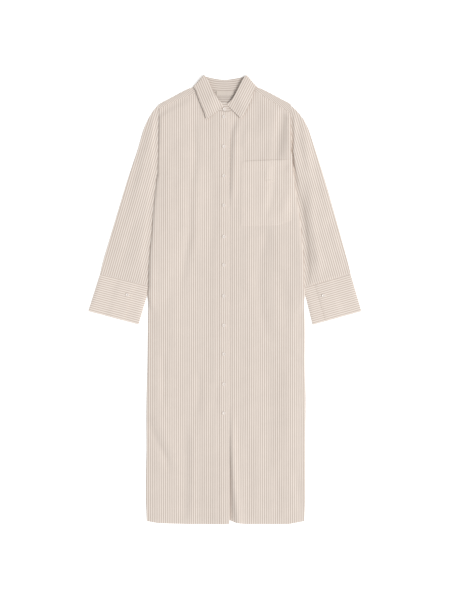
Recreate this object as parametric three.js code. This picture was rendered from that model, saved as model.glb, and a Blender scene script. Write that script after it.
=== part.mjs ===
// A long shirt dress in striped cotton, buttoned and laid out flat, face up.
// Millimetres. +X runs to the wearer's left, +Y to the collar, +Z up from the surface it lies on.
// The origin is on that surface, under the middle of the dress.
// Tables give one side's sizes by `out`, the distance from the centre line to that side,
// or hold a column each for the wearer's right and left.
import * as THREE from 'three';

// Cloth and seams
const CLOTH = 1.0;                    // thickness of every cloth wall
const GAP = 0.3;                      // clearance between pieces at a seam or between layers
const PLY = CLOTH + GAP;              // rise from one layer of cloth to the next
const FOLD_BULGE = PLY / 2;           // how far a doubled wall's middle turns out past its fold line
const RAMP = 45;                      // length over which cloth climbs onto what lies under it
const FIRST_MARGIN = 20;              // how far outside that piece the climb ends, for the lowest layer
const MARGIN_STEP = 12;               // each higher layer climbs this much further out
const LAP_RAMP = 24;                  // the same length for the lap at the middle

// Layers of cloth, counted up from the surface
const BACK_LAYER = 0;
const FRONT_LAYER = 1;
const TOP_LAYER = 2;
const TRIM_LAYER = 3;

// Main sizes of the body
const PLACKET_WIDTH = 30;
const PLACKET_EDGE = 13.5;            // the lapping edge, just past the centre line
const UNDERLAP_EDGE = -17;            // how far the left front runs under the right one
const CHEST_HALF = 198.15;            // centre line to armhole at the yoke
const CENTRE_BAND = 36;               // inside this the columns don't widen with the body
const YOKE_SEAM_Y = 535.5;            // back yoke seam
const BACK_HEM_SHORT = 2;             // the back hem lies this much above the front hem

// Body sections from hem to yoke: the distance from the centre line to each side edge
const BODY_ROWS = [
  { y: -600, right: 237, left: 241 },
  { y: -520, right: 237, left: 241 },
  { y: -440, right: 235, left: 240.5 },
  { y: -360, right: 236, left: 241.5 },
  { y: -280, right: 235, left: 242 },
  { y: -200, right: 232.5, left: 239 },
  { y: -120, right: 231.5, left: 240 },
  { y: -55, right: 231, left: 239.5 },
  { y: 0, right: 229.5, left: 237 },
  { y: 35, right: 230, left: 237.5 },
  { y: 70, right: 230, left: 237.8 },
  { y: 110, right: 228.5, left: 237.6 },
  { y: 150, right: 225.5, left: 234.5 },
  { y: 190, right: 221, left: 230.5 },
  { y: 230, right: 218, left: 227 },
  { y: 270, right: 215.5, left: 222 },
  { y: 310, right: 211.5, left: 216 },
  { y: 350, right: 206.5, left: 209.5 },
  { y: 390, right: 203, left: 205.5 },
  { y: 430, right: 203, left: 200.5 },
  { y: 470, right: 203, left: 200.5 },
  { y: 505, right: 203, left: 200.5 },
  { y: YOKE_SEAM_Y, right: 203, left: 200.5 },
];
const HEM_EDGES = { right: 234, left: 238 };

// The straight armhole seam of each side
const ARMHOLE = {
  right: { shoulder: { out: 198.3, y: 587.4 }, underarm: { out: 202.8, y: 369 } },
  left: { shoulder: { out: 197.6, y: 584.5 }, underarm: { out: 198.9, y: 444 } },
};

// Hem line of each front, from its opening edge to its side
const HEM = {
  right: [
    { out: -14, y: -670 }, { out: 0, y: -671.5 }, { out: 105, y: -672 },
    { out: 200, y: -669 }, { out: 234, y: -663 },
  ],
  left: [
    { out: -17, y: -660 }, { out: 14, y: -660 }, { out: 34, y: -668 },
    { out: 60, y: -672 }, { out: 190, y: -672 }, { out: 238, y: -663 },
  ],
};

// Shoulder fold, necklines and the yoke's forward seams
const SHOULDER_FOLD = [
  { out: 74, y: 644.5 }, { out: 95.5, y: 637.6 }, { out: 114, y: 630.2 },
  { out: 183, y: 594.5 }, { out: 199, y: 585.5 },
];
const BACK_NECK = [
  { out: 0, y: 625.5 }, { out: 17, y: 626.2 }, { out: 36, y: 628.3 },
  { out: 58, y: 634 }, { out: 74, y: 644.5 },
];
const FORWARD_SEAM = {
  right: [{ out: 74, y: 626 }, { out: 90, y: 620.4 }, { out: 137, y: 604 }, { out: 199, y: 574 }],
  left: [{ out: 74, y: 634 }, { out: 90, y: 628 }, { out: 141, y: 597.5 }, { out: 199, y: 560 }],
};
const FRONT_NECK = [
  { out: -17, y: 563.5 }, { out: 0, y: 563.7 }, { out: 17, y: 565.5 }, { out: 36, y: 574 },
  { out: 49, y: 590.5 }, { out: 58, y: 603.5 }, { out: 66, y: 617 },
];
const COLUMNS = [0, 17, 36, 49, 58, 66, 74, 84, 98, 118, 138, 158, 178, CHEST_HALF];
const NECK_POINT = 74;                // where shoulder fold and necklines meet

// Collar, from the side fold round to the front: the stand's seam, the roll line, the fall's edge
const COLLAR_FRONT = [
  { seamOut: 74, rollOut: 61.5, rollY: 670.5, edgeOut: 94.5, edgeY: 638.2 },
  { seamOut: 74, rollOut: 54.5, rollY: 660.5, edgeOut: 87.5, edgeY: 627 },
  { seamOut: 66, rollOut: 47, rollY: 646.5, edgeOut: 83, edgeY: 614 },
  { seamOut: 58, rollOut: 39.5, rollY: 631, edgeOut: 76, edgeY: 595.5 },
  { seamOut: 49, rollOut: 31.5, rollY: 616, edgeOut: 69, edgeY: 578.4 },
  { seamOut: 36, rollOut: 22.5, rollY: 601.5, edgeOut: 62.5, edgeY: 562.8 },
];
const COLLAR_BACK = [
  { seamOut: 74, rollOut: 61.5, rollY: 670.5, edgeOut: 94.5, edgeY: 638.2 },
  { seamOut: 58, rollOut: 50, rollY: 666.5, edgeOut: 76, edgeY: 625 },
  { seamOut: 36, rollOut: 33, rollY: 662.8, edgeOut: 52, edgeY: 615 },
  { seamOut: 17, rollOut: 16, rollY: 660, edgeOut: 27, edgeY: 610 },
  { seamOut: 0, rollOut: 0, rollY: 658.7, edgeOut: 0, edgeY: 608.5 },
];
const STAND_END = [
  { seamOut: 17, rollOut: 13.5, rollY: 592.5 },
  { seamOut: 0, rollOut: 0, rollY: 590.8 },
  { seamOut: -13.5, rollOut: -11, rollY: 585 },
];
const LEAF_END = {
  right: [
    { rollOut: 13.5, rollY: 592.5, edgeOut: 59.5, edgeY: 553 },
    { rollOut: 6.5, rollY: 578, edgeOut: 55.5, edgeY: 541.5 },
  ],
  left: [
    { rollOut: 13.5, rollY: 592.5, edgeOut: 54.5, edgeY: 554.5 },
    { rollOut: 4.5, rollY: 586.5, edgeOut: 46.8, edgeY: 544.5 },
  ],
};
const LIP_REACH = PLY;                // the fall rolls this far past the stand's top edge
const STAND_SEAM_GAP = 0.4;
const STAND_SIDE_GAP = 1.9;           // wider where stand and yoke both fold over

// Sleeve sections from armhole to cuff: the outer fold and the fold nearest the body
const SLEEVE = {
  right: [
    { outerOut: 198.3, outerY: 587.4, innerOut: 202.8, innerY: 369 },
    { outerOut: 219.3, outerY: 561, innerOut: 180, innerY: 342 },
    { outerOut: 242.4, outerY: 516, innerOut: 161.1, innerY: 301.5 },
    { outerOut: 263.1, outerY: 447, innerOut: 160.5, innerY: 249 },
    { outerOut: 294, outerY: 354, innerOut: 180, innerY: 189 },
    { outerOut: 327, outerY: 246, innerOut: 204, innerY: 120 },
    { outerOut: 364.2, outerY: 121.5, innerOut: 226.5, innerY: 57 },
    { outerOut: 374.4, outerY: 78.6, innerOut: 233.1, innerY: 39 },
  ],
  left: [
    { outerOut: 197.6, outerY: 584.5, innerOut: 198.9, innerY: 444 },
    { outerOut: 223.2, outerY: 558.6, innerOut: 177, innerY: 411 },
    { outerOut: 246, outerY: 522.6, innerOut: 161.4, innerY: 366 },
    { outerOut: 268.5, outerY: 459, innerOut: 159, innerY: 303 },
    { outerOut: 297.9, outerY: 366, innerOut: 178.5, innerY: 228 },
    { outerOut: 330, outerY: 255, innerOut: 205.5, innerY: 144 },
    { outerOut: 366, outerY: 124.5, innerOut: 230.4, innerY: 63 },
    { outerOut: 376.8, outerY: 78.6, innerOut: 237.9, innerY: 36.6 },
  ],
};
const CUFF_EDGE = {
  right: { outerOut: 409.8, outerY: -33.6, innerOut: 259, innerY: -73.5 },
  left: { outerOut: 409.2, outerY: -33.6, innerOut: 263, innerY: -74.4 },
};
const SLEEVE_RINGS = 15;
const SLEEVE_HEAD_STEP = 1.6;         // beside the armhole each ring stands this much further out

// Soft ridges in the cloth: a line, its half width and its rise
const FRONT_FOLDS = {
  right: [
    { out: 186, y: 520, toOut: 176, toY: 400, width: 16, rise: 1.6 },
    { out: 120, y: -60, toOut: 128, toY: -560, width: 26, rise: 2.0 },
    { out: 226, y: -400, toOut: 168, toY: -485, width: 18, rise: 2.0 },
    { out: -11, y: -330, toOut: -13, toY: -690, width: 16, rise: 2.6 },
  ],
  left: [
    { out: 31, y: 545, toOut: 30, toY: 290, width: 8, rise: 2.4 },
    { out: 182, y: 548, toOut: 176, toY: 450, width: 15, rise: 2.4 },
    { out: 128, y: -100, toOut: 118, toY: -600, width: 26, rise: 1.8 },
    { out: 200, y: -575, toOut: 236, toY: -650, width: 17, rise: 2.2 },
  ],
};
const SLEEVE_FOLDS = {
  right: [
    { out: 262, y: 400, toOut: 300, toY: 240, width: 18, rise: 3.2 },
    { out: 290, y: 210, toOut: 330, toY: 110, width: 16, rise: 2.6 },
    { out: 232, y: 505, toOut: 246, toY: 430, width: 14, rise: 2.2 },
  ],
  left: [
    { out: 270, y: 380, toOut: 298, toY: 230, width: 18, rise: 3.0 },
    { out: 300, y: 190, toOut: 322, toY: 90, width: 16, rise: 2.8 },
    { out: 232, y: 510, toOut: 250, toY: 440, width: 14, rise: 2.4 },
  ],
};

// Chest pocket on the wearer's left, its small tab, and the label in the back neck
const POCKET = {
  topIn: { out: 49, y: 415.5 },
  topSide: { out: 197.5, y: 421 },
  bottomIn: { out: 47, y: 222 },
  bottomSide: { out: 199, y: 238 },
};
const POCKET_TAB = {
  topIn: { out: 118, y: 418.5 },
  topSide: { out: 153, y: 420 },
  bottomIn: { out: 118, y: 352 },
  bottomSide: { out: 153, y: 353 },
};
const LABEL = { halfWidth: 26, top: 627, height: 13 };

// Buttons
const BUTTON = { radius: 5.5, height: 2.1, rim: 1.4, dish: 0.5, sides: 14 };
const BUTTON_LINE = -3;
const BUTTON_ROWS = [549, 460, 372, 283.5, 190, 105, 12, -76, -162, -252, -339];
const STAND_BUTTON = { x: -1.5, y: 572 };
const CUFF_BUTTON = { along: 97, down: 39 };

// Cuff: a band wrapped round the wrist with its top end lapped over its lower end
const CUFF_LAP = { underStart: 82, climbStart: 50, climbEnd: 71, topEnd: 112 };

const MATERIALS = {
  stripe: { color: 0xdfd2c8, roughness: 0.85, metalness: 0 },
  label: { color: 0xf0ece4, roughness: 0.7, metalness: 0 },
  button: { color: 0xf3efe8, roughness: 0.35, metalness: 0 },
};

const SIGN = { right: -1, left: 1 };

const mix = (a, b, t) => a + (b - a) * t;
const clamp01 = (t) => Math.min(1, Math.max(0, t));

function smoothstep(t) {
  const c = clamp01(t);
  return c * c * (3 - 2 * c);
}

// The value of a table's column at a place, straight between its rows
function lookup(rows, key, value, at) {
  const ordered = rows[0][key] <= rows[rows.length - 1][key] ? rows : [...rows].reverse();
  if (at <= ordered[0][key]) return ordered[0][value];
  for (let i = 1; i < ordered.length; i += 1) {
    const low = ordered[i - 1];
    const high = ordered[i];
    if (at <= high[key]) return mix(low[value], high[value], (at - low[key]) / (high[key] - low[key]));
  }
  return ordered[ordered.length - 1][value];
}

function distanceToSegment(x, y, a, b) {
  const dx = b.x - a.x;
  const dy = b.y - a.y;
  const t = clamp01(((x - a.x) * dx + (y - a.y) * dy) / (dx * dx + dy * dy));
  return Math.hypot(x - a.x - t * dx, y - a.y - t * dy);
}

// How far a point lies outside a closed outline, or 0 inside it
function distanceOutside(outline, x, y) {
  let inside = false;
  let nearest = Infinity;
  outline.forEach((b, i) => {
    const a = outline[(i + outline.length - 1) % outline.length];
    nearest = Math.min(nearest, distanceToSegment(x, y, a, b));
    if ((a.y > y) !== (b.y > y) && x < a.x + ((y - a.y) / (b.y - a.y)) * (b.x - a.x)) inside = !inside;
  });
  return inside ? 0 : nearest;
}

// Sleeve sections by a smooth curve through the table, `step` from 0 at the armhole to 1 at the cuff
function sleeveCurve(side) {
  const outer = SLEEVE[side].map((r) => new THREE.Vector3(SIGN[side] * r.outerOut, r.outerY, 0));
  const inner = SLEEVE[side].map((r) => new THREE.Vector3(SIGN[side] * r.innerOut, r.innerY, 0));
  const outerCurve = new THREE.CatmullRomCurve3(outer, false, 'centripetal');
  const innerCurve = new THREE.CatmullRomCurve3(inner, false, 'centripetal');
  return (step) => ({ outer: outerCurve.getPoint(step), inner: innerCurve.getPoint(step) });
}

const sleeveAt = { right: sleeveCurve('right'), left: sleeveCurve('left') };

// What the body lies over: the hidden inner part of each sleeve, open to the side
function sleeveOutline(side) {
  const points = [];
  for (let i = 0; i < SLEEVE_RINGS; i += 1) {
    points.push(sleeveAt[side](i / (SLEEVE_RINGS - 1)).inner);
  }
  const farOut = SIGN[side] * 330;
  points.push(new THREE.Vector3(farOut, points[points.length - 1].y, 0));
  points.push(new THREE.Vector3(farOut, points[0].y, 0));
  return points;
}

// What the yoke and the neck lie over: the back of the collar's fall
function collarBackOutline() {
  const half = (sign) => COLLAR_BACK.map((r) => new THREE.Vector3(sign * r.edgeOut, r.edgeY, 0));
  const fold = COLLAR_BACK[0];
  return [
    ...half(-1),
    ...half(1).reverse().slice(1),
    new THREE.Vector3(fold.rollOut, fold.rollY, 0),
    new THREE.Vector3(-fold.rollOut, fold.rollY, 0),
  ];
}

const UNDER_BODY = [
  { outline: sleeveOutline('right'), rise: 2 * PLY },
  { outline: sleeveOutline('left'), rise: 2 * PLY },
  { outline: collarBackOutline(), rise: PLY },
];

// Height of a layer's lower face where it lies over the pieces beneath the body
function layerHeight(layer, x, y) {
  const margin = FIRST_MARGIN + MARGIN_STEP * layer;
  let height = layer * PLY;
  UNDER_BODY.forEach(({ outline, rise }) => {
    const away = distanceOutside(outline, x, y) - margin;
    height += rise * (1 - smoothstep(away / RAMP));
  });
  return height;
}

// Extra rise of the right front's pieces where they lap over the left front
function lapRise(layer, x) {
  const margin = 2 + 6 * layer;
  return PLY * smoothstep((x - UNDERLAP_EDGE + margin + LAP_RAMP) / LAP_RAMP);
}

// Extra rise of the left collar point over the end of the right stand
function standEndRise(x) {
  return PLY * (1 - smoothstep((x - PLACKET_EDGE - 4) / 16));
}

function foldRise(folds, side, x, y) {
  const sign = SIGN[side];
  return folds[side].reduce((sum, fold) => {
    const a = { x: sign * fold.out, y: fold.y };
    const b = { x: sign * fold.toOut, y: fold.toY };
    const along = ((x - a.x) * (b.x - a.x) + (y - a.y) * (b.y - a.y))
      / ((b.x - a.x) ** 2 + (b.y - a.y) ** 2);
    const fade = smoothstep(along / 0.25) * smoothstep((1 - along) / 0.25);
    const across = Math.abs((x - a.x) * (b.y - a.y) - (y - a.y) * (b.x - a.x))
      / Math.hypot(b.x - a.x, b.y - a.y);
    return sum + fold.rise * fade * Math.exp(-((across / fold.width) ** 2));
  }, 0);
}

// A closed wall from a net of four-sided cells: `face` holds the points of its outer face,
// `back` those of its inner face, and every open edge of the net gets a rim.
function clothWall(name, face, back, cells, material) {
  const count = face.length;
  const triangles = [];
  const quad = (a, b, c, d) => triangles.push(a, b, c, a, c, d);
  const edges = new Map();
  cells.forEach((cell) => {
    const [a, b, c, d] = cell.map((k) => k + count);
    quad(...cell);
    triangles.push(a, c, b, a, d, c);
    cell.forEach((from, i) => {
      const to = cell[(i + 1) % 4];
      const twin = `${to}_${from}`;
      if (edges.has(twin)) edges.delete(twin);
      else edges.set(`${from}_${to}`, [from, to]);
    });
  });
  edges.forEach(([from, to]) => quad(to, from, from + count, to + count));
  return solid(name, [...face, ...back], triangles, material);
}

// A mesh from points and triangles, turned so that its faces point out
function solid(name, points, triangles, material) {
  let volume = 0;
  for (let i = 0; i < triangles.length; i += 3) {
    const [a, b, c] = [0, 1, 2].map((k) => points[triangles[i + k]]);
    volume += a.dot(b.clone().cross(c)) / 6;
  }
  if (volume < 0) triangles.reverse();
  const geometry = new THREE.BufferGeometry().setFromPoints(points);
  geometry.setIndex(triangles);
  geometry.computeVertexNormals();
  const mesh = new THREE.Mesh(geometry, new THREE.MeshStandardMaterial(MATERIALS[material]));
  mesh.name = name;
  return mesh;
}

// The cells of a plain net of `rows` by `columns` points; a looped net joins its last column to its first
function netCells(rows, columns, looped = false) {
  const cells = [];
  const last = looped ? columns : columns - 1;
  for (let i = 0; i < rows - 1; i += 1) {
    for (let j = 0; j < last; j += 1) {
      const next = (j + 1) % columns;
      cells.push([i * columns + j, i * columns + next, (i + 1) * columns + next, (i + 1) * columns + j]);
    }
  }
  return cells;
}

// A wall that lies face up: each point's lower face height plus the cloth's thickness
function flatWall(name, net, heightAt, material) {
  const low = net.flat().map((p) => new THREE.Vector3(p.x, p.y, heightAt(p.x, p.y)));
  const high = low.map((p) => new THREE.Vector3(p.x, p.y, p.z + CLOTH));
  return clothWall(name, high, low, netCells(net.length, net[0].length), material);
}

// The body's side edge: the armhole seam above the underarm, the side seam below it
function edgeOut(side, y) {
  const { shoulder, underarm } = ARMHOLE[side];
  if (y <= underarm.y) return Math.min(lookup(BODY_ROWS, 'y', side, y), bodyLimit(side, y));
  const t = (y - underarm.y) / (shoulder.y - underarm.y);
  return mix(underarm.out, shoulder.out, t) - GAP / 2;
}

// Just under the underarm the edge eases out from the armhole to the side seam
function bodyLimit(side, y) {
  const { underarm } = ARMHOLE[side];
  return underarm.out - GAP / 2 + Math.max(0, underarm.y - y) * 0.35;
}

// A column of the body at a height; columns outside the centre band widen with the body
function columnOut(side, column, y) {
  if (column <= CENTRE_BAND) return column;
  const share = (column - CENTRE_BAND) / (CHEST_HALF - CENTRE_BAND);
  return mix(CENTRE_BAND, edgeOut(side, y), share);
}

function hemY(side, out) {
  return lookup(HEM[side], 'out', 'y', out);
}

// The front's upper edge: the neckline, then the yoke's forward seam
function frontTopY(side, out) {
  if (out < NECK_POINT) return lookup([...FRONT_NECK, FORWARD_SEAM[side][0]], 'out', 'y', out);
  return lookup(FORWARD_SEAM[side], 'out', 'y', out);
}

const UPPER_STEPS = [1 / 3, 2 / 3, 1];

// The points of a front panel, from hem to neck, its columns from the opening edge to the side
function frontNet(side, openingColumns) {
  const sign = SIGN[side];
  const columns = [...openingColumns, ...COLUMNS.filter((c) => c > openingColumns[openingColumns.length - 1])];
  const seamGap = GAP / 2;
  const hemRow = columns.map((c) => {
    const share = (c - CENTRE_BAND) / (CHEST_HALF - CENTRE_BAND);
    const out = c <= CENTRE_BAND ? c : mix(CENTRE_BAND, HEM_EDGES[side], share);
    return { x: sign * out, y: hemY(side, out) };
  });
  const middle = BODY_ROWS.map(({ y }) => columns.map((c) => ({ x: sign * columnOut(side, c, y), y })));
  const upper = UPPER_STEPS.map((t) => columns.map((c) => {
    const top = frontTopY(side, c) - (c > NECK_POINT ? seamGap : 0);
    const y = mix(YOKE_SEAM_Y, top, t);
    return { x: sign * columnOut(side, c, y), y };
  }));
  return [hemRow, ...middle, ...upper];
}

function makeBack() {
  const outs = COLUMNS.filter((c) => c > 0);
  const sides = [
    ...outs.map((c) => ({ side: 'right', column: c })).reverse(),
    { side: 'right', column: 0 },
    ...outs.map((c) => ({ side: 'left', column: c })),
  ];
  const row = (y) => sides.map(({ side, column }) => ({ x: SIGN[side] * columnOut(side, column, y), y }));
  const hemRow = sides.map(({ side, column }) => {
    const share = (column - CENTRE_BAND) / (CHEST_HALF - CENTRE_BAND);
    const out = column <= CENTRE_BAND ? column : mix(CENTRE_BAND, HEM_EDGES[side], share);
    const x = SIGN[side] * out;
    const y = x < UNDERLAP_EDGE ? hemY('right', -x) : hemY('left', x);
    return { x, y: y + BACK_HEM_SHORT };
  });
  const net = [hemRow, ...BODY_ROWS.map(({ y }) => row(y - (y === YOKE_SEAM_Y ? GAP : 0)))];
  return flatWall('back', net, (x, y) => layerHeight(BACK_LAYER, x, y), 'stripe');
}

const RIGHT_OPENING = [-PLACKET_EDGE, 2, 17, 36];
const LEFT_OPENING = [UNDERLAP_EDGE, 0, 17, 36];

function rightFrontHeight(x, y) {
  return layerHeight(FRONT_LAYER, x, y) + lapRise(FRONT_LAYER, x) + foldRise(FRONT_FOLDS, 'right', x, y);
}

function leftFrontHeight(x, y) {
  return layerHeight(FRONT_LAYER, x, y) + foldRise(FRONT_FOLDS, 'left', x, y);
}

function makeFronts() {
  return [
    flatWall('front_right', frontNet('right', RIGHT_OPENING), rightFrontHeight, 'stripe'),
    flatWall('front_left', frontNet('left', LEFT_OPENING), leftFrontHeight, 'stripe'),
  ];
}

// The placket lies on the right front and is made from its last columns, one layer up
function makePlacket() {
  const net = frontNet('right', RIGHT_OPENING).map((row) => row.slice(0, 3));
  return flatWall('placket', net, (x, y) => rightFrontHeight(x, y) + PLY, 'stripe');
}

// A station where doubled cloth turns over a side fold. `turn` runs from 0 on the front layer
// to 1 on the back layer; the middle of the wall swings out past the fold line.
function foldStation(point, outward, frontZ, backZ, turn) {
  const angle = Math.PI * turn;
  const reach = ((frontZ - backZ) / 2) * Math.sin(angle);
  const z = (frontZ + backZ) / 2 + ((frontZ - backZ) / 2) * Math.cos(angle);
  const middle = new THREE.Vector3(point.x + outward.x * reach, point.y + outward.y * reach, z);
  const normal = new THREE.Vector3(outward.x * Math.sin(angle), outward.y * Math.sin(angle), Math.cos(angle));
  return { middle, normal };
}

const TURNS = [0.25, 0.5, 0.75];

// The yoke: its back part, and on each side the strip that folds over the shoulder to the front
function makeYoke() {
  const outs = COLUMNS.filter((c) => c > 0);
  const stations = [
    ...outs.map((c) => ({ side: 'right', out: c })).reverse(),
    { side: 'right', out: 0 },
    ...outs.map((c) => ({ side: 'left', out: c })),
  ];
  const backSteps = [0, 1 / 3, 2 / 3, 1];
  const face = [];
  const back = [];
  const index = [];
  const addPoint = (middle, normal) => {
    face.push(middle.clone().addScaledVector(normal, CLOTH / 2));
    back.push(middle.clone().addScaledVector(normal, -CLOTH / 2));
    return face.length - 1;
  };
  const down = new THREE.Vector3(0, 0, -1);
  const up = new THREE.Vector3(0, 0, 1);
  stations.forEach(({ side, out }) => {
    const sign = SIGN[side];
    const edge = out === CHEST_HALF;
    const topY = out < NECK_POINT ? lookup(BACK_NECK, 'out', 'y', out) : lookup(SHOULDER_FOLD, 'out', 'y', out);
    const placeX = (y) => sign * (edge ? edgeOut(side, y) : out);
    const backZ = (x, y) => layerHeight(BACK_LAYER, x, y) + CLOTH / 2;
    const frontZ = (x, y) => layerHeight(FRONT_LAYER, x, y) + CLOTH / 2;
    const column = backSteps.map((t) => {
      const y = mix(YOKE_SEAM_Y, topY, t);
      const x = placeX(y);
      return addPoint(new THREE.Vector3(x, y, backZ(x, y)), down);
    });
    if (out >= NECK_POINT) {
      const x = placeX(topY);
      const slope = new THREE.Vector2(0.45 * sign, 0.893);
      [...TURNS].reverse().forEach((turn) => {
        const { middle, normal } = foldStation({ x, y: topY }, slope, frontZ(x, topY), backZ(x, topY), turn);
        if (edge) middle.x = x;
        column.push(addPoint(middle, normal));
      });
      const seamY = frontTopY(side, out) + GAP / 2;
      [0, 0.5, 1].forEach((t) => {
        const y = mix(topY, seamY, t);
        const frontX = placeX(y);
        column.push(addPoint(new THREE.Vector3(frontX, y, frontZ(frontX, y)), up));
      });
    }
    index.push(column);
  });
  const cells = [];
  for (let i = 0; i < index.length - 1; i += 1) {
    const steps = Math.min(index[i].length, index[i + 1].length);
    for (let j = 0; j < steps - 1; j += 1) {
      cells.push([index[i][j], index[i][j + 1], index[i + 1][j + 1], index[i + 1][j]]);
    }
  }
  return clothWall('yoke', face, back, cells, 'stripe');
}

// The stations of the collar, round from the right front end to the left one. Each has its stand
// seam, roll line and fall edge in plan, and how far it has turned over the side fold.
function collarStations(kind) {
  const oneSide = (side) => {
    const sign = SIGN[side];
    const place = (row, turn) => ({
      side,
      turn,
      lip: row.lip ?? 1,
      seam: seamPoint(side, row, turn),
      roll: new THREE.Vector2(sign * row.rollOut, row.rollY),
      edge: new THREE.Vector2(sign * row.edgeOut, row.edgeY),
    });
    const ends = kind === 'stand' ? STAND_END : LEAF_END[side].map((row) => ({ ...row, lip: 0.12 }));
    const front = [...COLLAR_FRONT, ...ends].reverse().map((row) => place(row, 0));
    const fold = COLLAR_BACK[0];
    return [
      ...front,
      ...TURNS.map((turn) => place(fold, turn)),
      ...COLLAR_BACK.map((row) => place(row, 1)),
    ];
  };
  const right = oneSide('right');
  const left = oneSide('left').reverse().slice(1);
  return [...right, ...left];
}

// Where the stand's lower edge meets the neckline, set in by the seam gap
function seamPoint(side, row, turn) {
  if (row.seamOut === undefined) return null;
  const sign = SIGN[side];
  const out = row.seamOut;
  if (turn > 0 && turn < 1) return new THREE.Vector2(sign * (out - STAND_SIDE_GAP), sideSeamY());
  if (turn === 1) {
    if (out === NECK_POINT) return new THREE.Vector2(sign * (out - STAND_SIDE_GAP), sideSeamY());
    return new THREE.Vector2(sign * out, lookup(BACK_NECK, 'out', 'y', out) + STAND_SEAM_GAP);
  }
  if (row === COLLAR_FRONT[0]) return new THREE.Vector2(sign * (out - STAND_SIDE_GAP), sideSeamY());
  const y = frontTopY(side, out);
  const steep = out > CENTRE_BAND ? STAND_SEAM_GAP * 2 : 0;
  return new THREE.Vector2(sign * (out - steep), y + STAND_SEAM_GAP);
}

function sideSeamY() {
  return lookup(SHOULDER_FOLD, 'out', 'y', NECK_POINT) + GAP;
}

// The collar pieces of the right side lie on the lap; the left fall's end lies on the right stand
function collarHeight(kind, side, x, y) {
  const layer = kind === 'stand' ? FRONT_LAYER : TOP_LAYER;
  let height = layerHeight(layer, x, y);
  if (side === 'right') height += lapRise(layer, x);
  else if (kind === 'fall') height += standEndRise(x);
  return height + CLOTH / 2;
}

// The stand: from the neckline seam to its top edge
function makeStand() {
  const steps = [0, 0.5, 1];
  const face = [];
  const back = [];
  const stations = collarStations('stand');
  stations.forEach(({ side, turn, seam, roll }) => {
    const outward = foldOutward(side, 'stand');
    steps.forEach((t) => {
      const plan = seam.clone().lerp(roll, t);
      const frontZ = collarHeight('stand', side, plan.x, plan.y);
      const backZ = frontZ - PLY;
      const restZ = PLY + CLOTH / 2;
      const { middle, normal } = turn === 1
        ? { middle: new THREE.Vector3(plan.x, plan.y, restZ), normal: new THREE.Vector3(0, 0, -1) }
        : foldStation(plan, outward, frontZ, backZ, turn);
      face.push(middle.clone().addScaledVector(normal, CLOTH / 2));
      back.push(middle.clone().addScaledVector(normal, -CLOTH / 2));
    });
  });
  return clothWall('collar_stand', face, back, netCells(stations.length, steps.length), 'stripe');
}

// The direction in which the collar's side fold bulges, square to its fold line
function foldOutward(side, kind) {
  const sign = SIGN[side];
  const fold = COLLAR_BACK[0];
  const low = kind === 'stand'
    ? new THREE.Vector2(sign * (fold.seamOut - STAND_SIDE_GAP), sideSeamY())
    : new THREE.Vector2(sign * fold.edgeOut, fold.edgeY);
  const along = new THREE.Vector2(sign * fold.rollOut, fold.rollY).sub(low).normalize();
  return new THREE.Vector2(sign * Math.abs(along.y), Math.abs(along.x));
}

// The fall: it rolls over the stand's top edge in a short lip, then lies out to its edge
function makeFall() {
  const face = [];
  const back = [];
  const stations = collarStations('fall');
  const halfWall = CLOTH / 2;
  stations.forEach(({ side, turn, roll, edge, lip }) => {
    const outward = foldOutward(side, 'fall');
    const across = edge.clone().sub(roll).normalize();
    const depth = halfWall + LIP_REACH * lip;
    const profile = [
      { w: -LIP_REACH, face: -depth, innerW: -GAP, back: -depth },
      { w: -LIP_REACH, face: 0.1, innerW: -GAP, back: -halfWall - 0.04 },
      { w: -LIP_REACH + 0.5, face: halfWall, innerW: 0, back: -halfWall },
    ];
    [1 / 3, 2 / 3, 1].forEach((t) => {
      const w = t * edge.distanceTo(roll);
      profile.push({ w, face: halfWall, innerW: w, back: -halfWall });
    });
    const pointAt = (w, offset) => {
      const plan = roll.clone().addScaledVector(across, w);
      const frontZ = collarHeight('fall', side, plan.x, plan.y);
      const { middle, normal } = turn === 1
        ? { middle: new THREE.Vector3(plan.x, plan.y, halfWall), normal: new THREE.Vector3(0, 0, -1) }
        : foldStation(plan, outward, frontZ, halfWall, turn);
      return middle.addScaledVector(normal, offset);
    };
    profile.forEach((p) => {
      face.push(pointAt(p.w, p.face));
      back.push(pointAt(p.innerW, p.back));
    });
  });
  return clothWall('collar', face, back, netCells(stations.length, 6), 'stripe');
}

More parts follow.
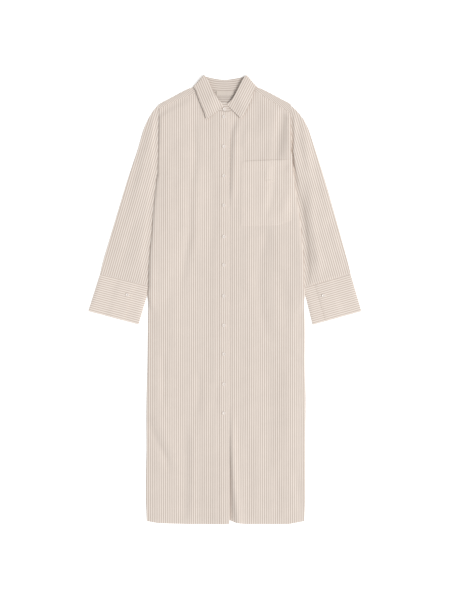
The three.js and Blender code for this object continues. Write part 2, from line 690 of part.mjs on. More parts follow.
// A sleeve: a flattened tube, its under layer flat and its upper layer with soft ridges
function makeSleeve(side) {
  const topSteps = 8;
  const underSteps = 3;
  const face = [];
  const back = [];
  const inset = CLOTH / 2 + FOLD_BULGE;
  const lowZ = CLOTH / 2;
  const highZ = lowZ + PLY;
  for (let i = 0; i < SLEEVE_RINGS; i += 1) {
    const step = i / (SLEEVE_RINGS - 1);
    const { outer, inner } = sleeveAt[side](step);
    const width = outer.distanceTo(inner);
    const across = inner.clone().sub(outer).normalize();
    const shift = i === 0 ? SIGN[side] * (GAP / 2) : 0;
    const at = (w) => {
      const point = outer.clone().addScaledVector(across, w);
      point.x += shift;
      if (i > 0 && point.y > ARMHOLE[side].underarm.y) {
        const clear = edgeOut(side, point.y) + GAP + i * SLEEVE_HEAD_STEP;
        point.x = SIGN[side] * Math.max(clear, SIGN[side] * point.x);
      }
      return point;
    };
    const add = (w, z, normal) => {
      const middle = at(w).setZ(z);
      face.push(middle.clone().addScaledVector(normal, CLOTH / 2));
      back.push(middle.clone().addScaledVector(normal, -CLOTH / 2));
    };
    const up = new THREE.Vector3(0, 0, 1);
    for (let k = 0; k <= topSteps; k += 1) {
      const w = mix(inset, width - inset, k / topSteps);
      add(w, highZ + sleeveRise(side, at(w), w, step), up);
    }
    TURNS.forEach((turn) => {
      const swing = foldStation({ x: 0, y: 0 }, { x: 1, y: 0 }, highZ, lowZ, turn);
      const normal = across.clone().multiplyScalar(swing.normal.x).setZ(swing.normal.z);
      add(width - inset + swing.middle.x, swing.middle.z, normal);
    });
    for (let k = underSteps; k >= 0; k -= 1) {
      add(mix(inset, width - inset, k / underSteps), lowZ, up.clone().negate());
    }
    [...TURNS].reverse().forEach((turn) => {
      const swing = foldStation({ x: 0, y: 0 }, { x: 1, y: 0 }, highZ, lowZ, turn);
      const normal = across.clone().multiplyScalar(-swing.normal.x).setZ(swing.normal.z);
      add(inset - swing.middle.x, swing.middle.z, normal);
    });
  }
  const around = topSteps + underSteps + 2 + 2 * TURNS.length;
  return clothWall(`sleeve_${side}`, face, back, netCells(SLEEVE_RINGS, around, true), 'stripe');
}

// The upper layer's ridges die out at both folds, at both seams and where the body lies on top
function sleeveRise(side, point, w, step) {
  const fromBody = SIGN[side] * point.x - edgeOut(side, point.y);
  const fade = smoothstep(w / 18) * smoothstep((fromBody - 6) / 20)
    * smoothstep(step / 0.12) * smoothstep((1 - step) / 0.06);
  return fade * foldRise(SLEEVE_FOLDS, side, point.x, point.y);
}

// The cuff's wrap in section: from the lower end under the lap, round both folds, to the top end
function cuffSection(width) {
  const inset = CLOTH / 2 + FOLD_BULGE;
  const low = CLOTH / 2;
  const high = low + PLY;
  const lapped = high + PLY;
  const swing = (turn) => foldStation({ x: 0, y: 0 }, { x: 1, y: 0 }, high, low, turn);
  const { underStart, climbStart, climbEnd, topEnd } = CUFF_LAP;
  return [
    { w: underStart, z: high, tilt: 0, lift: 1 },
    { w: width - inset, z: high, tilt: 0, lift: 1 },
    ...TURNS.map((t) => swing(t)).map((s) => (
      { w: width - inset + s.middle.x, z: s.middle.z, tilt: s.normal.x, lift: s.normal.z }
    )),
    { w: width - inset, z: low, tilt: 0, lift: -1 },
    { w: inset, z: low, tilt: 0, lift: -1 },
    ...[...TURNS].reverse().map((t) => swing(t)).map((s) => (
      { w: inset - s.middle.x, z: s.middle.z, tilt: -s.normal.x, lift: s.normal.z }
    )),
    { w: inset, z: high, tilt: 0, lift: 1 },
    { w: climbStart, z: high, tilt: 0, lift: 1 },
    { w: climbEnd, z: lapped, tilt: 0, lift: 1 },
    { w: topEnd, z: lapped, tilt: 0, lift: 1 },
  ];
}

function cuffCorners(side) {
  const sign = SIGN[side];
  const top = SLEEVE[side][SLEEVE[side].length - 1];
  const low = CUFF_EDGE[side];
  return {
    outerTop: new THREE.Vector3(sign * top.outerOut, top.outerY, 0),
    innerTop: new THREE.Vector3(sign * top.innerOut, top.innerY, 0),
    outerLow: new THREE.Vector3(sign * low.outerOut, low.outerY, 0),
    innerLow: new THREE.Vector3(sign * low.innerOut, low.innerY, 0),
  };
}

// The cuff's two folds at a share of its depth; the first station stands off the sleeve seam
function cuffStation(side, share) {
  const { outerTop, innerTop, outerLow, innerLow } = cuffCorners(side);
  const outer = outerTop.clone().lerp(outerLow, share);
  const inner = innerTop.clone().lerp(innerLow, share);
  return { outer, width: outer.distanceTo(inner), across: inner.clone().sub(outer).normalize() };
}

function makeCuff(side) {
  const depth = cuffCorners(side).outerTop.distanceTo(cuffCorners(side).outerLow);
  const shares = [GAP / depth, 0.33, 0.67, 1];
  const face = [];
  const back = [];
  let count = 0;
  shares.forEach((share) => {
    const { outer, width, across } = cuffStation(side, share);
    const section = cuffSection(width);
    count = section.length;
    section.forEach(({ w, z, tilt, lift }) => {
      const middle = outer.clone().addScaledVector(across, w).setZ(z);
      const normal = across.clone().multiplyScalar(tilt).setZ(lift);
      face.push(middle.clone().addScaledVector(normal, CLOTH / 2));
      back.push(middle.clone().addScaledVector(normal, -CLOTH / 2));
    });
  });
  return clothWall(`cuff_${side}`, face, back, netCells(shares.length, count), 'stripe');
}

// A four-cornered patch on the left front, as a net of points
function patchNet(corners, rows, columns) {
  const net = [];
  for (let i = 0; i <= rows; i += 1) {
    const t = i / rows;
    const line = [];
    for (let j = 0; j <= columns; j += 1) {
      const s = j / columns;
      const top = { x: mix(corners.topIn.out, corners.topSide.out, s), y: mix(corners.topIn.y, corners.topSide.y, s) };
      const low = {
        x: mix(corners.bottomIn.out, corners.bottomSide.out, s),
        y: mix(corners.bottomIn.y, corners.bottomSide.y, s),
      };
      line.push({ x: mix(low.x, top.x, t), y: mix(low.y, top.y, t) });
    }
    net.push(line);
  }
  return net;
}

function makePocket() {
  const height = (layer) => (x, y) => layerHeight(layer, x, y);
  return [
    flatWall('pocket', patchNet(POCKET, 8, 8), height(TOP_LAYER), 'stripe'),
    flatWall('pocket_tab', patchNet(POCKET_TAB, 3, 2), height(TRIM_LAYER), 'stripe'),
  ];
}

// The blank label lies over the back neck seam
function makeLabel() {
  const { halfWidth, top, height } = LABEL;
  const net = [top - height, top].map((y) => [-halfWidth, halfWidth].map((x) => ({ x, y })));
  return flatWall('neck_label', net, () => 2 * PLY, 'label');
}

// A round button with a raised rim and a dished middle
function makeButton(name, x, y, underside) {
  const { radius, height, rim, dish, sides } = BUTTON;
  const profile = [
    new THREE.Vector2(0, 0),
    new THREE.Vector2(radius * 0.85, 0),
    new THREE.Vector2(radius, height * 0.35),
    new THREE.Vector2(radius, height * 0.7),
    new THREE.Vector2(radius - rim * 0.5, height),
    new THREE.Vector2(radius - rim, height - dish),
    new THREE.Vector2(0, height - dish),
  ];
  const geometry = new THREE.LatheGeometry(profile, sides);
  geometry.rotateX(Math.PI / 2);
  const mesh = new THREE.Mesh(geometry, new THREE.MeshStandardMaterial(MATERIALS.button));
  mesh.name = name;
  mesh.position.set(x, y, highest(underside, x, y) + GAP);
  return mesh;
}

// The highest point of a surface under a button
function highest(heightAt, x, y) {
  let top = -Infinity;
  for (let i = 0; i < 8; i += 1) {
    const angle = (i * Math.PI) / 4;
    const place = [x + BUTTON.radius * Math.cos(angle), y + BUTTON.radius * Math.sin(angle)];
    top = Math.max(top, heightAt(...place));
  }
  return top;
}

function makeButtons() {
  const onPlacket = (x, y) => rightFrontHeight(x, y) + PLY + CLOTH;
  const front = BUTTON_ROWS.map((y, i) => (
    makeButton(`button_${String(i + 1).padStart(2, '0')}`, BUTTON_LINE, y, onPlacket)
  ));
  const onStand = (x, y) => collarHeight('stand', 'right', x, y) + CLOTH / 2;
  const stand = makeButton('button_stand', STAND_BUTTON.x, STAND_BUTTON.y, onStand);
  const cuffs = ['right', 'left'].map((side) => {
    const { outerTop, innerTop, outerLow } = cuffCorners(side);
    const across = innerTop.clone().sub(outerTop).normalize();
    const down = outerLow.clone().sub(outerTop).normalize();
    const place = outerTop.clone().addScaledVector(across, CUFF_BUTTON.along).addScaledVector(down, CUFF_BUTTON.down);
    return makeButton(`button_cuff_${side}`, place.x, place.y, () => 2 * PLY + CLOTH);
  });
  return [...front, stand, ...cuffs];
}

const dress = new THREE.Group();
dress.add(
  makeBack(),
  makeYoke(),
  ...makeFronts(),
  makePlacket(),
  makeStand(),
  makeFall(),
  makeSleeve('right'),
  makeSleeve('left'),
  makeCuff('right'),
  makeCuff('left'),
  ...makePocket(),
  makeLabel(),
  ...makeButtons(),
);

export default dress;
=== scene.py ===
import bpy
import bmesh
import math
import numpy as np
from mathutils import Matrix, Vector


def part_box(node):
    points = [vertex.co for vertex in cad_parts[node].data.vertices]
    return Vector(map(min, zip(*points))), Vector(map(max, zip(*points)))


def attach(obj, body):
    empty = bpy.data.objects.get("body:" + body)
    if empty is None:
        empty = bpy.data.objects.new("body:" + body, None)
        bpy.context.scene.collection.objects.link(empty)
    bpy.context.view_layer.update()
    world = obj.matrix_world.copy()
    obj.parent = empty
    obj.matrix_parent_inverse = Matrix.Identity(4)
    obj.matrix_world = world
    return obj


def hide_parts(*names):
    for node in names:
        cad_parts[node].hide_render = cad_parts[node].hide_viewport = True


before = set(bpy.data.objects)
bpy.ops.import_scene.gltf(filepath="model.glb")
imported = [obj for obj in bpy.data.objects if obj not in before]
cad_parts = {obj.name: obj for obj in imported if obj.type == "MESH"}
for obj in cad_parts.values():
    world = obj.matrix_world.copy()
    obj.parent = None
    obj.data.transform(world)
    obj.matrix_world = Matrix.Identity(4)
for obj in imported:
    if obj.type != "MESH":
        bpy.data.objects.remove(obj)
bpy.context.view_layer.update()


# Back panel: striped cotton poplin, cut in one from the yoke seam to the hem and sewn to yoke,
# sleeves and fronts. It lies flat under all the rest, and climbs over the inner part of each
# sleeve, which lies beneath the body.
MM = 0.001
PLY = 1.3                 # rise from one layer of the solids to the next, in mm
WALL = 1.0                # thickness of the solids' cloth walls, in mm
POPLIN = 0.5              # thickness of one drawn layer of cloth, in mm
SEAM_GAP = 0.15           # how far a drawn panel stops short of its seam, in mm
YOKE_SEAM = 535.5         # height of the seam between back and yoke
UNDERARM = 425.0          # height at which the left sleeve leaves the body
LEVEL_FROM = -600.0       # a panel's rows are level from here up, and follow the hem below
CHEST = 198.15            # half the body's width at the armhole
BAND = 36.0               # half the middle band, whose columns run straight down

# Half widths of the body at the heights in body_y, from the hem up.
body_y = np.array([-600, -520, -440, -360, -280, -200, -120, -55, 0, 35, 70, 110, 150, 190, 230,
                   270, 310, 350, 390, 430, 470, 505, 535.5])
body_out = {
    "right": np.array([237, 237, 235, 236, 235, 232.5, 231.5, 231, 229.5, 230, 230, 228.5, 225.5,
                       221, 218, 215.5, 211.5, 206.5, 203, 203, 203, 203, 203]),
    "left": np.array([241, 241, 240.5, 241.5, 242, 239, 240, 239.5, 237, 237.5, 237.8, 237.6, 234.5,
                      230.5, 227, 222, 216, 209.5, 205.5, 200.5, 200.5, 200.5, 200.5]),
}

# The hem's half width, and its height at places from the middle outwards.
hem_out = {"right": 234.0, "left": 238.0}
hem_line = {
    "right": ([-14, 0, 105, 200, 234], [-670, -671.5, -672, -669, -663]),
    "left": ([-17, 14, 34, 60, 190, 238], [-660, -660, -668, -672, -672, -663]),
}

# Upper and lower end of each armhole seam, and the lines across each sleeve from there to the
# cuff: outer edge, then the inner edge beneath the body.
armhole = {"right": (198.3, 587.4, 202.8, 369.0), "left": (197.6, 584.5, 198.9, 444.0)}
sleeve_table = {
    "right": [(198.3, 587.4, 202.8, 369), (219.3, 561, 180, 342), (242.4, 516, 161.1, 301.5),
              (263.1, 447, 160.5, 249), (294, 354, 180, 189), (327, 246, 204, 120),
              (364.2, 121.5, 223, 59), (374.4, 78.6, 225.5, 41)],
    "left": [(197.6, 584.5, 198.9, 444), (223.2, 558.6, 177, 411), (246, 522.6, 161.4, 366),
             (268.5, 459, 159, 303), (297.9, 366, 178.5, 228), (330, 255, 205.5, 144),
             (366, 124.5, 229.6, 63), (376.8, 78.6, 235.6, 37)],
}

# The collar behind the neck, from its side to the middle: roll, then outer edge.
collar_back = [(61.5, 670.5, 94.5, 638.2), (50, 666.5, 76, 625), (33, 662.8, 52, 615),
               (16, 660, 27, 610), (0, 658.7, 0, 608.5)]
sign = {"right": -1.0, "left": 1.0}


def ease(t):
    c = np.clip(t, 0.0, 1.0)
    return c * c * (3.0 - 2.0 * c)


def bell(distance, reach):
    return np.exp(-(distance / reach) ** 2)


def soft_curve(at, values, spread):
    # A table read as a smooth line: straight between its rows, then rounded over `spread`.
    step = 2.0
    dense = np.arange(at[0] - 4 * spread, at[-1] + 4 * spread, step)
    line = np.interp(dense, at, values)
    reach = np.arange(-3 * spread, 3 * spread + step, step)
    weight = np.exp(-0.5 * (reach / spread) ** 2)
    padded = np.pad(line, len(reach) // 2, mode="edge")
    smooth = np.convolve(padded, weight / weight.sum(), mode="valid")[:len(dense)]
    return lambda y: np.interp(y, dense, smooth)


side_line = {s: soft_curve(body_y, body_out[s], 22.0) for s in sign}


def edge_out(side, y):
    # The armhole seam above the underarm, the side seam below it. The side bulges a little where
    # the cuff's corner lies beneath it.
    top_out, top_y, low_out, low_y = armhole[side]
    seam = top_out + (low_out - top_out) * (top_y - y) / (top_y - low_y) - SEAM_GAP
    side_seam = side_line[side](y) + 3.4 * bell(y - 18, 14)
    from_underarm = low_out - SEAM_GAP + np.maximum(0.0, low_y - y) * 0.35
    return np.where(y > low_y, seam, np.minimum(side_seam, from_underarm))


def catmull(points, steps):
    # A smooth line through rows of numbers, `steps` places for each stretch between two rows.
    p = np.asarray(points, float)
    p = np.vstack([2 * p[0] - p[1], p, 2 * p[-1] - p[-2]])
    out = []
    for i in range(1, len(p) - 2):
        for k in range(steps):
            t = k / steps
            a, b, c, d = p[i - 1], p[i], p[i + 1], p[i + 2]
            out.append(0.5 * (2 * b + (c - a) * t + (2 * a - 5 * b + 4 * c - d) * t * t
                              + (3 * b - a - 3 * c + d) * t ** 3))
    out.append(p[-2])
    return np.array(out)


def outside(outline, x, y):
    # Distance from a closed outline, and 0 inside it.
    inside = np.zeros(np.shape(x), bool)
    nearest = np.full(np.shape(x), 1e9)
    for (ax, ay), (bx, by) in zip(outline, np.roll(outline, -1, axis=0)):
        dx, dy = bx - ax, by - ay
        t = np.clip(((x - ax) * dx + (y - ay) * dy) / (dx * dx + dy * dy + 1e-12), 0, 1)
        nearest = np.minimum(nearest, np.hypot(x - ax - t * dx, y - ay - t * dy))
        if by != ay:
            inside ^= ((ay > y) != (by > y)) & (x < ax + (y - ay) / (by - ay) * dx)
    return np.where(inside, 0.0, nearest)


# What lies beneath the body: each sleeve, from its hidden edge to well outside the body, and the
# collar's folded back; each with the height by which the layers above it rise.
beneath = []
for side in sign:
    inner = catmull(np.array(sleeve_table[side])[:, 2:] * (sign[side], 1), 3)
    far = 330 * sign[side]
    beneath.append((np.vstack([inner, (far, inner[-1, 1]), (far, inner[0, 1])]), 2 * PLY))
ring = [(-e[2], e[3]) for e in collar_back] + [(e[2], e[3]) for e in collar_back[-2::-1]]
shoulder = collar_back[0][:2]
beneath.append((np.array(ring + [shoulder, (-shoulder[0], shoulder[1])], float), PLY))


def level(layer, x, y):
    # Height of a layer's lower face. Over what lies beneath the body it stands higher, and comes
    # down in a ramp that starts further out for each layer above.
    height = np.full(np.shape(x), layer * PLY)
    for outline, rise in beneath:
        shelf = 20 + 12 * layer
        height = height + rise * (1 - ease((outside(outline, x, y) - shelf) / 45.0))
    return height


# Main folds of the body: a path, its half width and its height, all in mm. Troughs are negative.
body_folds = [
    ([(-86, 400), (-84, 320), (-88, 230), (-90, 150)], 17, 2.7),
    ([(-106, 300), (-105, 210), (-118, 130), (-132, 40)], 11, -2.2),
    ([(-92, 520), (-90, 440), (-94, 350)], 9, -1.9),
    ([(-36, 380), (-33, 270), (-38, 150)], 14, -1.7),
    ([(-130, 470), (-128, 380), (-140, 280)], 20, 1.6),
    ([(-168, 420), (-172, 300), (-166, 190)], 15, 1.4),
    ([(-150, 30), (-155, -60), (-148, -170)], 18, 1.3),
    ([(-216, 110), (-218, 40), (-220, -20)], 9, 1.8),
    ([(-186, -170), (-184, -240), (-187, -310)], 9, -2.1),
    ([(-80, -220), (-78, -280), (-82, -330)], 8, -1.9),
    ([(-226, -386), (-198, -436), (-168, -496)], 9, -3.0),
    ([(-212, -350), (-180, -404), (-150, -470)], 15, 1.8),
    ([(-120, -380), (-118, -500), (-122, -655)], 15, -2.2),
    ([(-96, -400), (-94, -520), (-98, -665)], 14, 1.9),
    ([(-58, -300), (-56, -450), (-60, -640)], 20, 1.5),
    ([(-26, -250), (-30, -330)], 10, -1.4),
    ([(-168, -95), (-100, -103), (-36, -99)], 5, -1.0),
    ([(174, 576), (163, 500), (152, 426)], 13, -4.2),
    ([(198, 572), (191, 500), (180, 420)], 13, 3.2),
    ([(194, 490), (193, 440), (194, 385)], 8, 2.4),
    ([(64, 505), (60, 455)], 12, 1.3),
    ([(195, 400), (195, 330), (174, 258)], 18, 3.4),
    ([(146, 400), (145, 330), (128, 258)], 11, -2.0),
    ([(126, 205), (107, 130), (103, 60), (106, -30), (124, -96)], 12, -1.6),
    ([(156, 170), (149, 90), (148, 0), (162, -90)], 25, 2.5),
    ([(205, 40), (203, -40), (196, -120)], 14, 1.2),
    ([(124, -128), (180, -150), (226, -186)], 9, -1.9),
    ([(70, 190), (66, 100), (72, 10)], 16, 1.2),
    ([(78, -90), (82, -230), (76, -380)], 20, 1.4),
    ([(130, -210), (138, -360), (132, -500)], 18, -1.3),
    ([(186, -220), (190, -330), (182, -450)], 19, 1.7),
    ([(212, -530), (222, -570), (229, -618)], 11, -2.4),
    ([(92, -430), (96, -540), (90, -662)], 17, 1.5),
    ([(150, -520), (156, -600), (152, -668)], 12, -1.4),
    ([(46, -420), (50, -540), (54, -655)], 15, 1.4),
]


def fold_height(table, x, y):
    total = np.zeros(np.shape(x))
    for path, width, height in table:
        p = np.asarray(path, float)
        lengths = np.hypot(*(p[1:] - p[:-1]).T)
        run = np.concatenate([[0], np.cumsum(lengths)]) / lengths.sum()
        best = np.full(np.shape(x), 1e9)
        along = np.zeros(np.shape(x))
        for i in range(len(p) - 1):
            dx, dy = p[i + 1] - p[i]
            t = ((x - p[i, 0]) * dx + (y - p[i, 1]) * dy) / (dx * dx + dy * dy)
            low = -0.3 if i == 0 else 0.0
            high = 1.3 if i == len(p) - 2 else 1.0
            t = np.clip(t, low, high)
            d = np.hypot(x - p[i, 0] - t * dx, y - p[i, 1] - t * dy)
            closer = d < best
            best = np.where(closer, d, best)
            along = np.where(closer, run[i] + t * (run[i + 1] - run[i]), along)
        taper = ease((along + 0.18) / 0.36) * ease((1.18 - along) / 0.36)
        total += height * taper * bell(best, width)
    return total


def above_zero(height):
    # Height with its negative part rounded away, so that a trough doesn't cut the layer below.
    return 0.5 * (height + np.sqrt(height ** 2 + 0.5)) - 0.3


def relief(x, y):
    # Loft and folds of the body's upper layers, dying out at the sides, hem, lap and collar.
    out = np.abs(x)
    side_gap = np.where(x < 0, edge_out("right", y) + x, edge_out("left", y) - x)
    rounding = 42 - 33 * ease((y + 55) / 50) - np.where(x < 0, 3.0, 5.8) * bell(y - UNDERARM, 60)
    billow = 0.9 * np.sin(x / 37.0 + y / 210.0) * np.sin(y / 96.0 + 1.0)
    loft = 3.6 * ease((side_gap + 2) / rounding) + billow
    height = above_zero(loft + 1.05 * fold_height(body_folds, x, y))
    collar_zone = ease((y - 496) / 44) * ease((124 - out) / 34)
    shoulder_seam = np.interp(out, [74, 140, 199], [626, 598, 564])
    lap_zone = 1 - 0.3 * ease((30 - np.abs(x + 2)) / 18)
    lap_zone = lap_zone * (1 - ease((y + 24 - shoulder_seam) / 20))
    return height * (1 - collar_zone) * lap_zone * ease((y + 676) / 30 + 0.35)


def placed(name, data):
    piece = bpy.data.objects.new(name, data)
    bpy.context.scene.collection.objects.link(piece)
    return piece


def shell(name, outer, inner, uv, material, looped=False, cells=None):
    # A closed wall of cloth from matching nets of points on its two faces, in mm; `uv` is the
    # place on the flat cloth in metres, u across the stripes.
    rows, columns = outer.shape[:2]
    n = rows * columns
    if cells is None:
        index = np.arange(n).reshape(rows, columns)
        right = np.roll(index, -1, axis=1) if looped else index[:, 1:]
        left = index if looped else index[:, :-1]
        cells = np.stack([left[:-1], right[:-1], right[1:], left[1:]], axis=-1).reshape(-1, 4)
    points = np.vstack([outer.reshape(-1, 3), inner.reshape(-1, 3)]) * MM
    edges = {}
    for cell in cells.tolist():
        for a, b in zip(cell, cell[1:] + cell[:1]):
            if (b, a) in edges:
                del edges[(b, a)]
            else:
                edges[(a, b)] = True
    rims = [[b, a, a + n, b + n] for a, b in edges]
    mesh = bpy.data.meshes.new(name)
    mesh.from_pydata(points.tolist(), [], cells.tolist() + (cells[:, ::-1] + n).tolist() + rims)
    flat = np.vstack([uv.reshape(-1, 2)] * 2)
    order = np.empty(len(mesh.loops), int)
    mesh.loops.foreach_get("vertex_index", order)
    mesh.uv_layers.new(name="cloth").data.foreach_set("uv", flat[order].ravel())
    work = bmesh.new()
    work.from_mesh(mesh)
    if work.calc_volume(signed=True) < 0:
        bmesh.ops.reverse_faces(work, faces=work.faces)
    work.to_mesh(mesh)
    work.free()
    mesh.shade_smooth()
    mesh.set_sharp_from_angle(angle=math.radians(48))
    mesh.materials.append(material)
    return placed(name, mesh)


def laid(name, x, y, z, thickness, material):
    # A single layer of cloth: its upper face has these heights, and its stripes run up the plan.
    plan = np.stack([x, y], -1)
    return shell(name, np.dstack([plan, z]), np.dstack([plan, z - thickness]), plan * MM, material)


def feed(tree, node, values):
    # Each input of a node gets a fixed value, or a link from another node's output.
    for key, value in values.items():
        if isinstance(value, bpy.types.NodeSocket):
            tree.links.new(value, node.inputs[key])
        else:
            node.inputs[key].default_value = value


def add(tree, kind, values, **settings):
    # A new node with its settings and inputs; returns its outputs.
    node = tree.nodes.new(kind)
    for key, value in settings.items():
        setattr(node, key, value)
    feed(tree, node, values)
    return node.outputs


def maths(tree, operation, *values, clamp=False):
    return add(tree, "ShaderNodeMath", dict(enumerate(values)),
               operation=operation, use_clamp=clamp)[0]


def noise(tree, place, **values):
    return add(tree, "ShaderNodeTexNoise", {"Vector": place, **values})["Fac"]


def mixed(tree, share, first, second):
    return add(tree, "ShaderNodeMix", {"Factor": share, "A": first, "B": second},
               data_type="RGBA")["Result"]


def node_group(name, kind, inputs, outputs):
    # A group with its sockets: the tree, the outputs of its input node, and its output node.
    group = bpy.data.node_groups.new(name, kind)
    for label, of_kind, value in inputs:
        socket = group.interface.new_socket(label, in_out="INPUT",
                                            socket_type="NodeSocket" + of_kind)
        if value is not None:
            socket.default_value = value
    for label, of_kind in outputs:
        group.interface.new_socket(label, in_out="OUTPUT", socket_type="NodeSocket" + of_kind)
    return group, group.nodes.new("NodeGroupInput").outputs, group.nodes.new("NodeGroupOutput")


# Yarn-dyed stripes: dyed and undyed warp in turn, with soft edges and slightly uneven yarns.
CREAM = (0.822, 0.742, 0.672)
TAN = (0.603, 0.510, 0.448)
STRIPE_PERIOD = 0.00645
stripes, given, result = node_group("yarn dyed stripes", "ShaderNodeTree", [
    ("Cloth", "Vector", None), ("Period", "Float", STRIPE_PERIOD), ("Dyed share", "Float", 0.48),
    ("Cream", "Color", (*CREAM, 1)), ("Tan", "Color", (*TAN, 1))], [("Color", "Color")])
across = add(stripes, "ShaderNodeSeparateXYZ", {0: given["Cloth"]})[0]
wander = noise(stripes, given["Cloth"], Scale=9.0, Detail=1.0)
shift = maths(stripes, "MULTIPLY_ADD", wander, 0.0016, across)
turns = maths(stripes, "DIVIDE", shift, given["Period"])
from_middle = maths(stripes, "SUBTRACT", maths(stripes, "FRACT", turns), 0.5)
half_share = maths(stripes, "MULTIPLY", given["Dyed share"], 0.5)
edge = maths(stripes, "SUBTRACT", maths(stripes, "ABSOLUTE", from_middle), half_share)
dyed = maths(stripes, "MULTIPLY_ADD", edge, -7.0, 0.5, clamp=True)
stretched = add(stripes, "ShaderNodeMapping", {"Vector": given["Cloth"], "Scale": (1.0, 0.03, 1.0)})
yarn = noise(stripes, stretched["Vector"], Scale=2400.0, Detail=2.0)
yarn = maths(stripes, "MULTIPLY_ADD", yarn, 0.16, 0.92)
blotch = noise(stripes, given["Cloth"], Scale=26.0, Detail=3.0)
blotch = maths(stripes, "MULTIPLY_ADD", blotch, 0.06, 0.97)
tint = add(stripes, "ShaderNodeVectorMath",
           {0: mixed(stripes, dyed, given["Cream"], given["Tan"]),
            "Scale": maths(stripes, "MULTIPLY", yarn, blotch)}, operation="SCALE")[0]
feed(stripes, result, {"Color": tint})

# Poplin weave: fine weft ribs over closely set warp, with a light crumple that ironing leaves.
weave, given, result = node_group("poplin weave", "ShaderNodeTree", [
    ("Cloth", "Vector", None), ("Threads", "Float", 3000.0), ("Crumple", "Float", 0.35)],
    [("Height", "Float"), ("Crumple", "Float")])
place = add(weave, "ShaderNodeSeparateXYZ", {0: given["Cloth"]})
warp = maths(weave, "SINE", maths(weave, "MULTIPLY", place[0], given["Threads"]))
weft_turns = maths(weave, "MULTIPLY", place[1], given["Threads"])
weft = maths(weave, "SINE", maths(weave, "MULTIPLY", weft_turns, 0.6))
crumple = noise(weave, given["Cloth"], Scale=34.0, Detail=4.0, Roughness=0.55, Distortion=0.5)
crumpled = maths(weave, "MULTIPLY", crumple, given["Crumple"])
ribs = maths(weave, "MULTIPLY_ADD", maths(weave, "MULTIPLY", warp, weft), 0.02, crumpled)
feed(weave, result, {"Height": ribs, "Crumple": crumple})


def new_material(name, values):
    # A material with these values on its shader.
    material = bpy.data.materials.new(name)
    material.use_nodes = True
    shader = material.node_tree.nodes["Principled BSDF"]
    feed(material.node_tree, shader, values)
    return material, material.node_tree, shader


def woven(tree, crumple_depth):
    # The flat cloth's coordinates, and the weave on them with its dull and smoother places.
    flat = add(tree, "ShaderNodeUVMap", {}, uv_map="cloth")["UV"]
    cloth = add(tree, "ShaderNodeGroup", {"Cloth": flat, "Crumple": crumple_depth}, node_tree=weave)
    uneven = add(tree, "ShaderNodeMapRange",
                 {"Value": cloth["Crumple"], "To Min": 0.78, "To Max": 0.9})["Result"]
    return flat, cloth["Height"], uneven


def striped_cotton(name, brightness=1.0, crumple_depth=0.35):
    material, tree, shader = new_material(name, {
        "Sheen Weight": 0.12, "Sheen Roughness": 0.5, "Specular IOR Level": 0.25})
    flat, height, uneven = woven(tree, crumple_depth)
    cream, tan = [(*[min(1, c * brightness) for c in tone], 1) for tone in (CREAM, TAN)]
    colour = add(tree, "ShaderNodeGroup", {"Cloth": flat, "Cream": cream, "Tan": tan},
                 node_tree=stripes)["Color"]
    bump = add(tree, "ShaderNodeBump", {"Height": height, "Strength": 0.5, "Distance": 0.004})
    feed(tree, shader, {"Base Color": colour, "Roughness": uneven, "Normal": bump["Normal"]})
    return material


body_cotton = striped_cotton("striped poplin")


def seat(piece, *nodes, slot="striped_cotton"):
    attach(piece, "root")
    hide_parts(*nodes)


def panel_net(side, first, top_y, inset=0.0):
    # Plan of a panel on one side, from the hem up; `first` is its edge's distance from the middle.
    # Its columns stand closer where the side edge turns down.
    span = CHEST - BAND
    at_turn = span - np.array([3.0, 2.1, 1.2, 0.5, 0.15, 0])
    columns = np.concatenate([np.arange(first, BAND, 5.0), BAND + np.linspace(0, span - 4.2, 30),
                              BAND + at_turn])
    share = np.clip((columns - BAND) / span, 0, None)

    def spread(wide):
        return np.where(columns <= BAND, columns, BAND + (wide - inset - BAND) * share)

    hem_at = np.interp(spread(hem_out[side]), *hem_line[side])
    plan = []
    for t in np.linspace(0, 1, 9)[:-1]:
        wide = hem_out[side] + (float(edge_out(side, LEVEL_FROM)) - hem_out[side]) * t
        plan.append((spread(wide), hem_at + (LEVEL_FROM - hem_at) * t))
    rows_y = np.arange(LEVEL_FROM, YOKE_SEAM, 9.0)
    for y in rows_y:
        plan.append((spread(float(edge_out(side, y))), np.full_like(columns, y)))
    for t in np.linspace(0, 1, 13)[1:]:
        y = rows_y[-1] + (top_y(columns) - rows_y[-1]) * t
        plan.append((spread(edge_out(side, y)), y))
    return np.stack(list(np.moveaxis(np.array(plan), 1, 0)), -1) * (sign[side], 1)


back_half = {s: panel_net(s, 1.0, lambda c: np.full_like(c, YOKE_SEAM - 2 * SEAM_GAP), inset=0.7)
             for s in sign}
back_plan = np.concatenate([back_half["right"][:, ::-1], back_half["left"]], axis=1)
back_plan[:8, :, 1] += 2.0      # the back's hem ends 2 mm above the fronts'
bx, by = back_plan[..., 0], back_plan[..., 1]
back_folds = [
    ([(-120, 420), (-128, 200), (-120, -40)], 22, 0.7),
    ([(60, 380), (72, 120), (64, -200)], 18, 0.8),
    ([(150, -100), (158, -380), (150, -620)], 20, 0.7),
    ([(-60, -140), (-66, -420), (-58, -650)], 17, 0.8),
    ([(-180, -300), (-172, -520), (-178, -650)], 14, 0.5),
    ([(10, 500), (4, 300), (12, 60)], 10, 0.6),
]
room_under = ease(np.minimum(edge_out("right", by) + bx, edge_out("left", by) - bx) / 24)
back_lift = fold_height(back_folds, bx, by) * room_under * ease((by + 650) / 60)
back_lift = 0.12 * relief(bx, by) + back_lift
back_under = level(0, bx, by) + back_lift * ease((500 - by) / 30)
back_panel = laid("back_cloth", bx, by, back_under + POPLIN, POPLIN, body_cotton)
seat(back_panel, "back")


